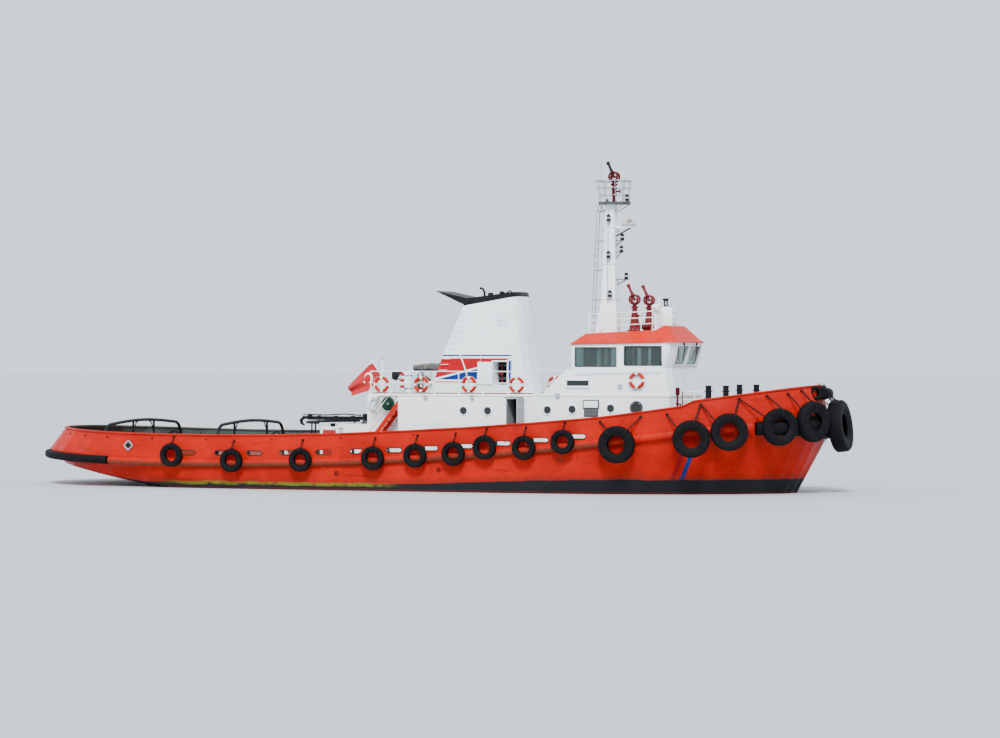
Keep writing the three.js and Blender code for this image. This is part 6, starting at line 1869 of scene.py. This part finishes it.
def make_foredeck_gear():
    """Collars of the bitts, the windlass, a hydrant, and a rail with a ventilator."""
    gear = Piece("foredeck_gear")
    for side in (-1, 1):
        for x in BITTS_X:
            gear.turned([(0.0, 0.02), (0.12, 0.02), (0.135, 0.01), (0.135, -0.03), (0.12, -0.035)],
                        (x, side * BITTS_Y, 4.47), UP, "black", 20)
            gear.rod((x - 0.18, side * BITTS_Y, 4.25), (x + 0.18, side * BITTS_Y, 4.25), 0.022, "black", 10)
        gear.tube([(WINDLASS_X, side * 0.98, WINDLASS_Z), (WINDLASS_X, side * 1.05, WINDLASS_Z)], 0.22,
                  "green", 20)
        gear.turned([(0.13, 0.0), (0.20, 0.02), (0.13, 0.10), (0.13, 0.22), (0.22, 0.30), (0.22, 0.33),
                     (0.0, 0.33)], (WINDLASS_X, side, WINDLASS_Z), (0, side, 0), "green", 24)
        gear.tube([(15.72, side * 0.35, 3.62), (16.2, side * 0.34, 3.40), (16.6, side * 0.33, 3.42)], 0.045,
                  "chain", 8)
        add_handwheel(gear, (15.15, side * 0.45, 4.12), (-0.5, 0, 1), 0.13, "green")
    gear.box((15.12, -0.22, 3.75), (15.68, 0.22, 4.05), "green", bevel=0.05)
    gear.rod((11.64, -2.05, 2.60), (11.64, -2.05, 4.30), 0.035, "mast_red", 12)
    gear.turned([(0.0, 0.12), (0.06, 0.12), (0.09, 0.08), (0.09, -0.16), (0.05, -0.2)], (11.64, -2.05, 4.28),
                UP, "mast_red", 16)
    gear.rod((11.64, -2.18, 3.72), (11.64, -1.92, 3.72), 0.045, "mast_red", 12)
    for x, key in ((11.84, "mast_red"), (12.35, "white"), (12.82, "white")):
        gear.rod((x, -2.0, sheer(x)), (x, -2.0, 4.23), 0.022, key, 8)
    for z in (3.90, 4.22):
        gear.rod((11.84, -2.0, z), (12.84, -2.0, z), 0.018, "white", 8)
    gear.turned([(0.0, 0.50), (0.22, 0.50), (0.30, 0.44), (0.28, 0.30), (0.16, 0.28), (0.16, 0.0)],
                (12.3, 1.1, sheer(12.3)), UP, "white", 24)
    gear.done()


def make_hull_fittings():
    """The rims of the outlets in the side plating."""
    hull = Piece("hull_fittings")
    for x, z in ((-2.7, 0.75), (1.95, 0.95)):
        for side in (-1, 1):
            y = side * (half_breadth("rail", x) - 0.02)
            hull.turned([(0.075, -0.03), (0.085, 0.02), (0.055, 0.02), (0.05, -0.03)], (x, y, z),
                        (0, side, 0), "chain", 18, closed=True)
    hull.done()


def make_door_fittings():
    """On the open side doors: clips and frame on the fore face, grip and gaskets on the aft one."""
    for name, side in SIDES:
        door = Piece(f"door_clips_{name}")
        ys = (2.50, 3.24)
        for z in (2.35, 2.95, 3.55):
            door.tube([(5.0, side * 3.22, z), (5.045, side * 3.22, z), (5.045, side * 3.08, z + 0.05)], 0.014,
                      "steel", 8)
        for out in ys:
            side_box(door, side, (4.998, 5.012), (out - 0.02, out + 0.02), (2.10, 3.90), "grey", 0.004)
        for z in (2.12, 3.0, 3.88):
            side_box(door, side, (4.998, 5.012), ys, (z - 0.02, z + 0.02), "grey", 0.004)
        door.tube([(4.957, side * 3.2, 2.5), (4.93, side * 3.2, 2.5), (4.93, side * 3.2, 3.4),
                   (4.957, side * 3.2, 3.4)], 0.012, "steel", 8)
        side_box(door, side, (4.944, 4.956), (2.50, 3.25), (2.12, 2.15), "gasket")
        side_box(door, side, (4.944, 4.956), (2.50, 3.25), (3.86, 3.89), "gasket")
        door.done(body=f"side_door_{name}")


for make in (make_camera, make_stage, dress_nodes, make_side_rails, make_fenders, make_bulwark_detail,
             make_house_fittings, make_wall_lifebuoys, make_window_frames, make_wheelhouse_inside,
             make_deck_curbs, make_boat_rails, make_boat_deck_gear, make_raft_straps, make_small_boat,
             make_boat_canvas, make_flag, make_stair_rails, make_deck_reels, make_funnel_stripes,
             make_funnel_fittings, make_funnel_inside, make_cowl_fittings, make_monitor_stands, make_monitors,
             make_roof_rails, make_roof_gear, make_searchlight, make_mast_fittings, make_radar, make_basket,
             make_tow_arches, make_arm_fittings, make_aft_deck_gear, make_hatch_dogs, make_foredeck_gear,
             make_hull_fittings, make_door_fittings):
    make()
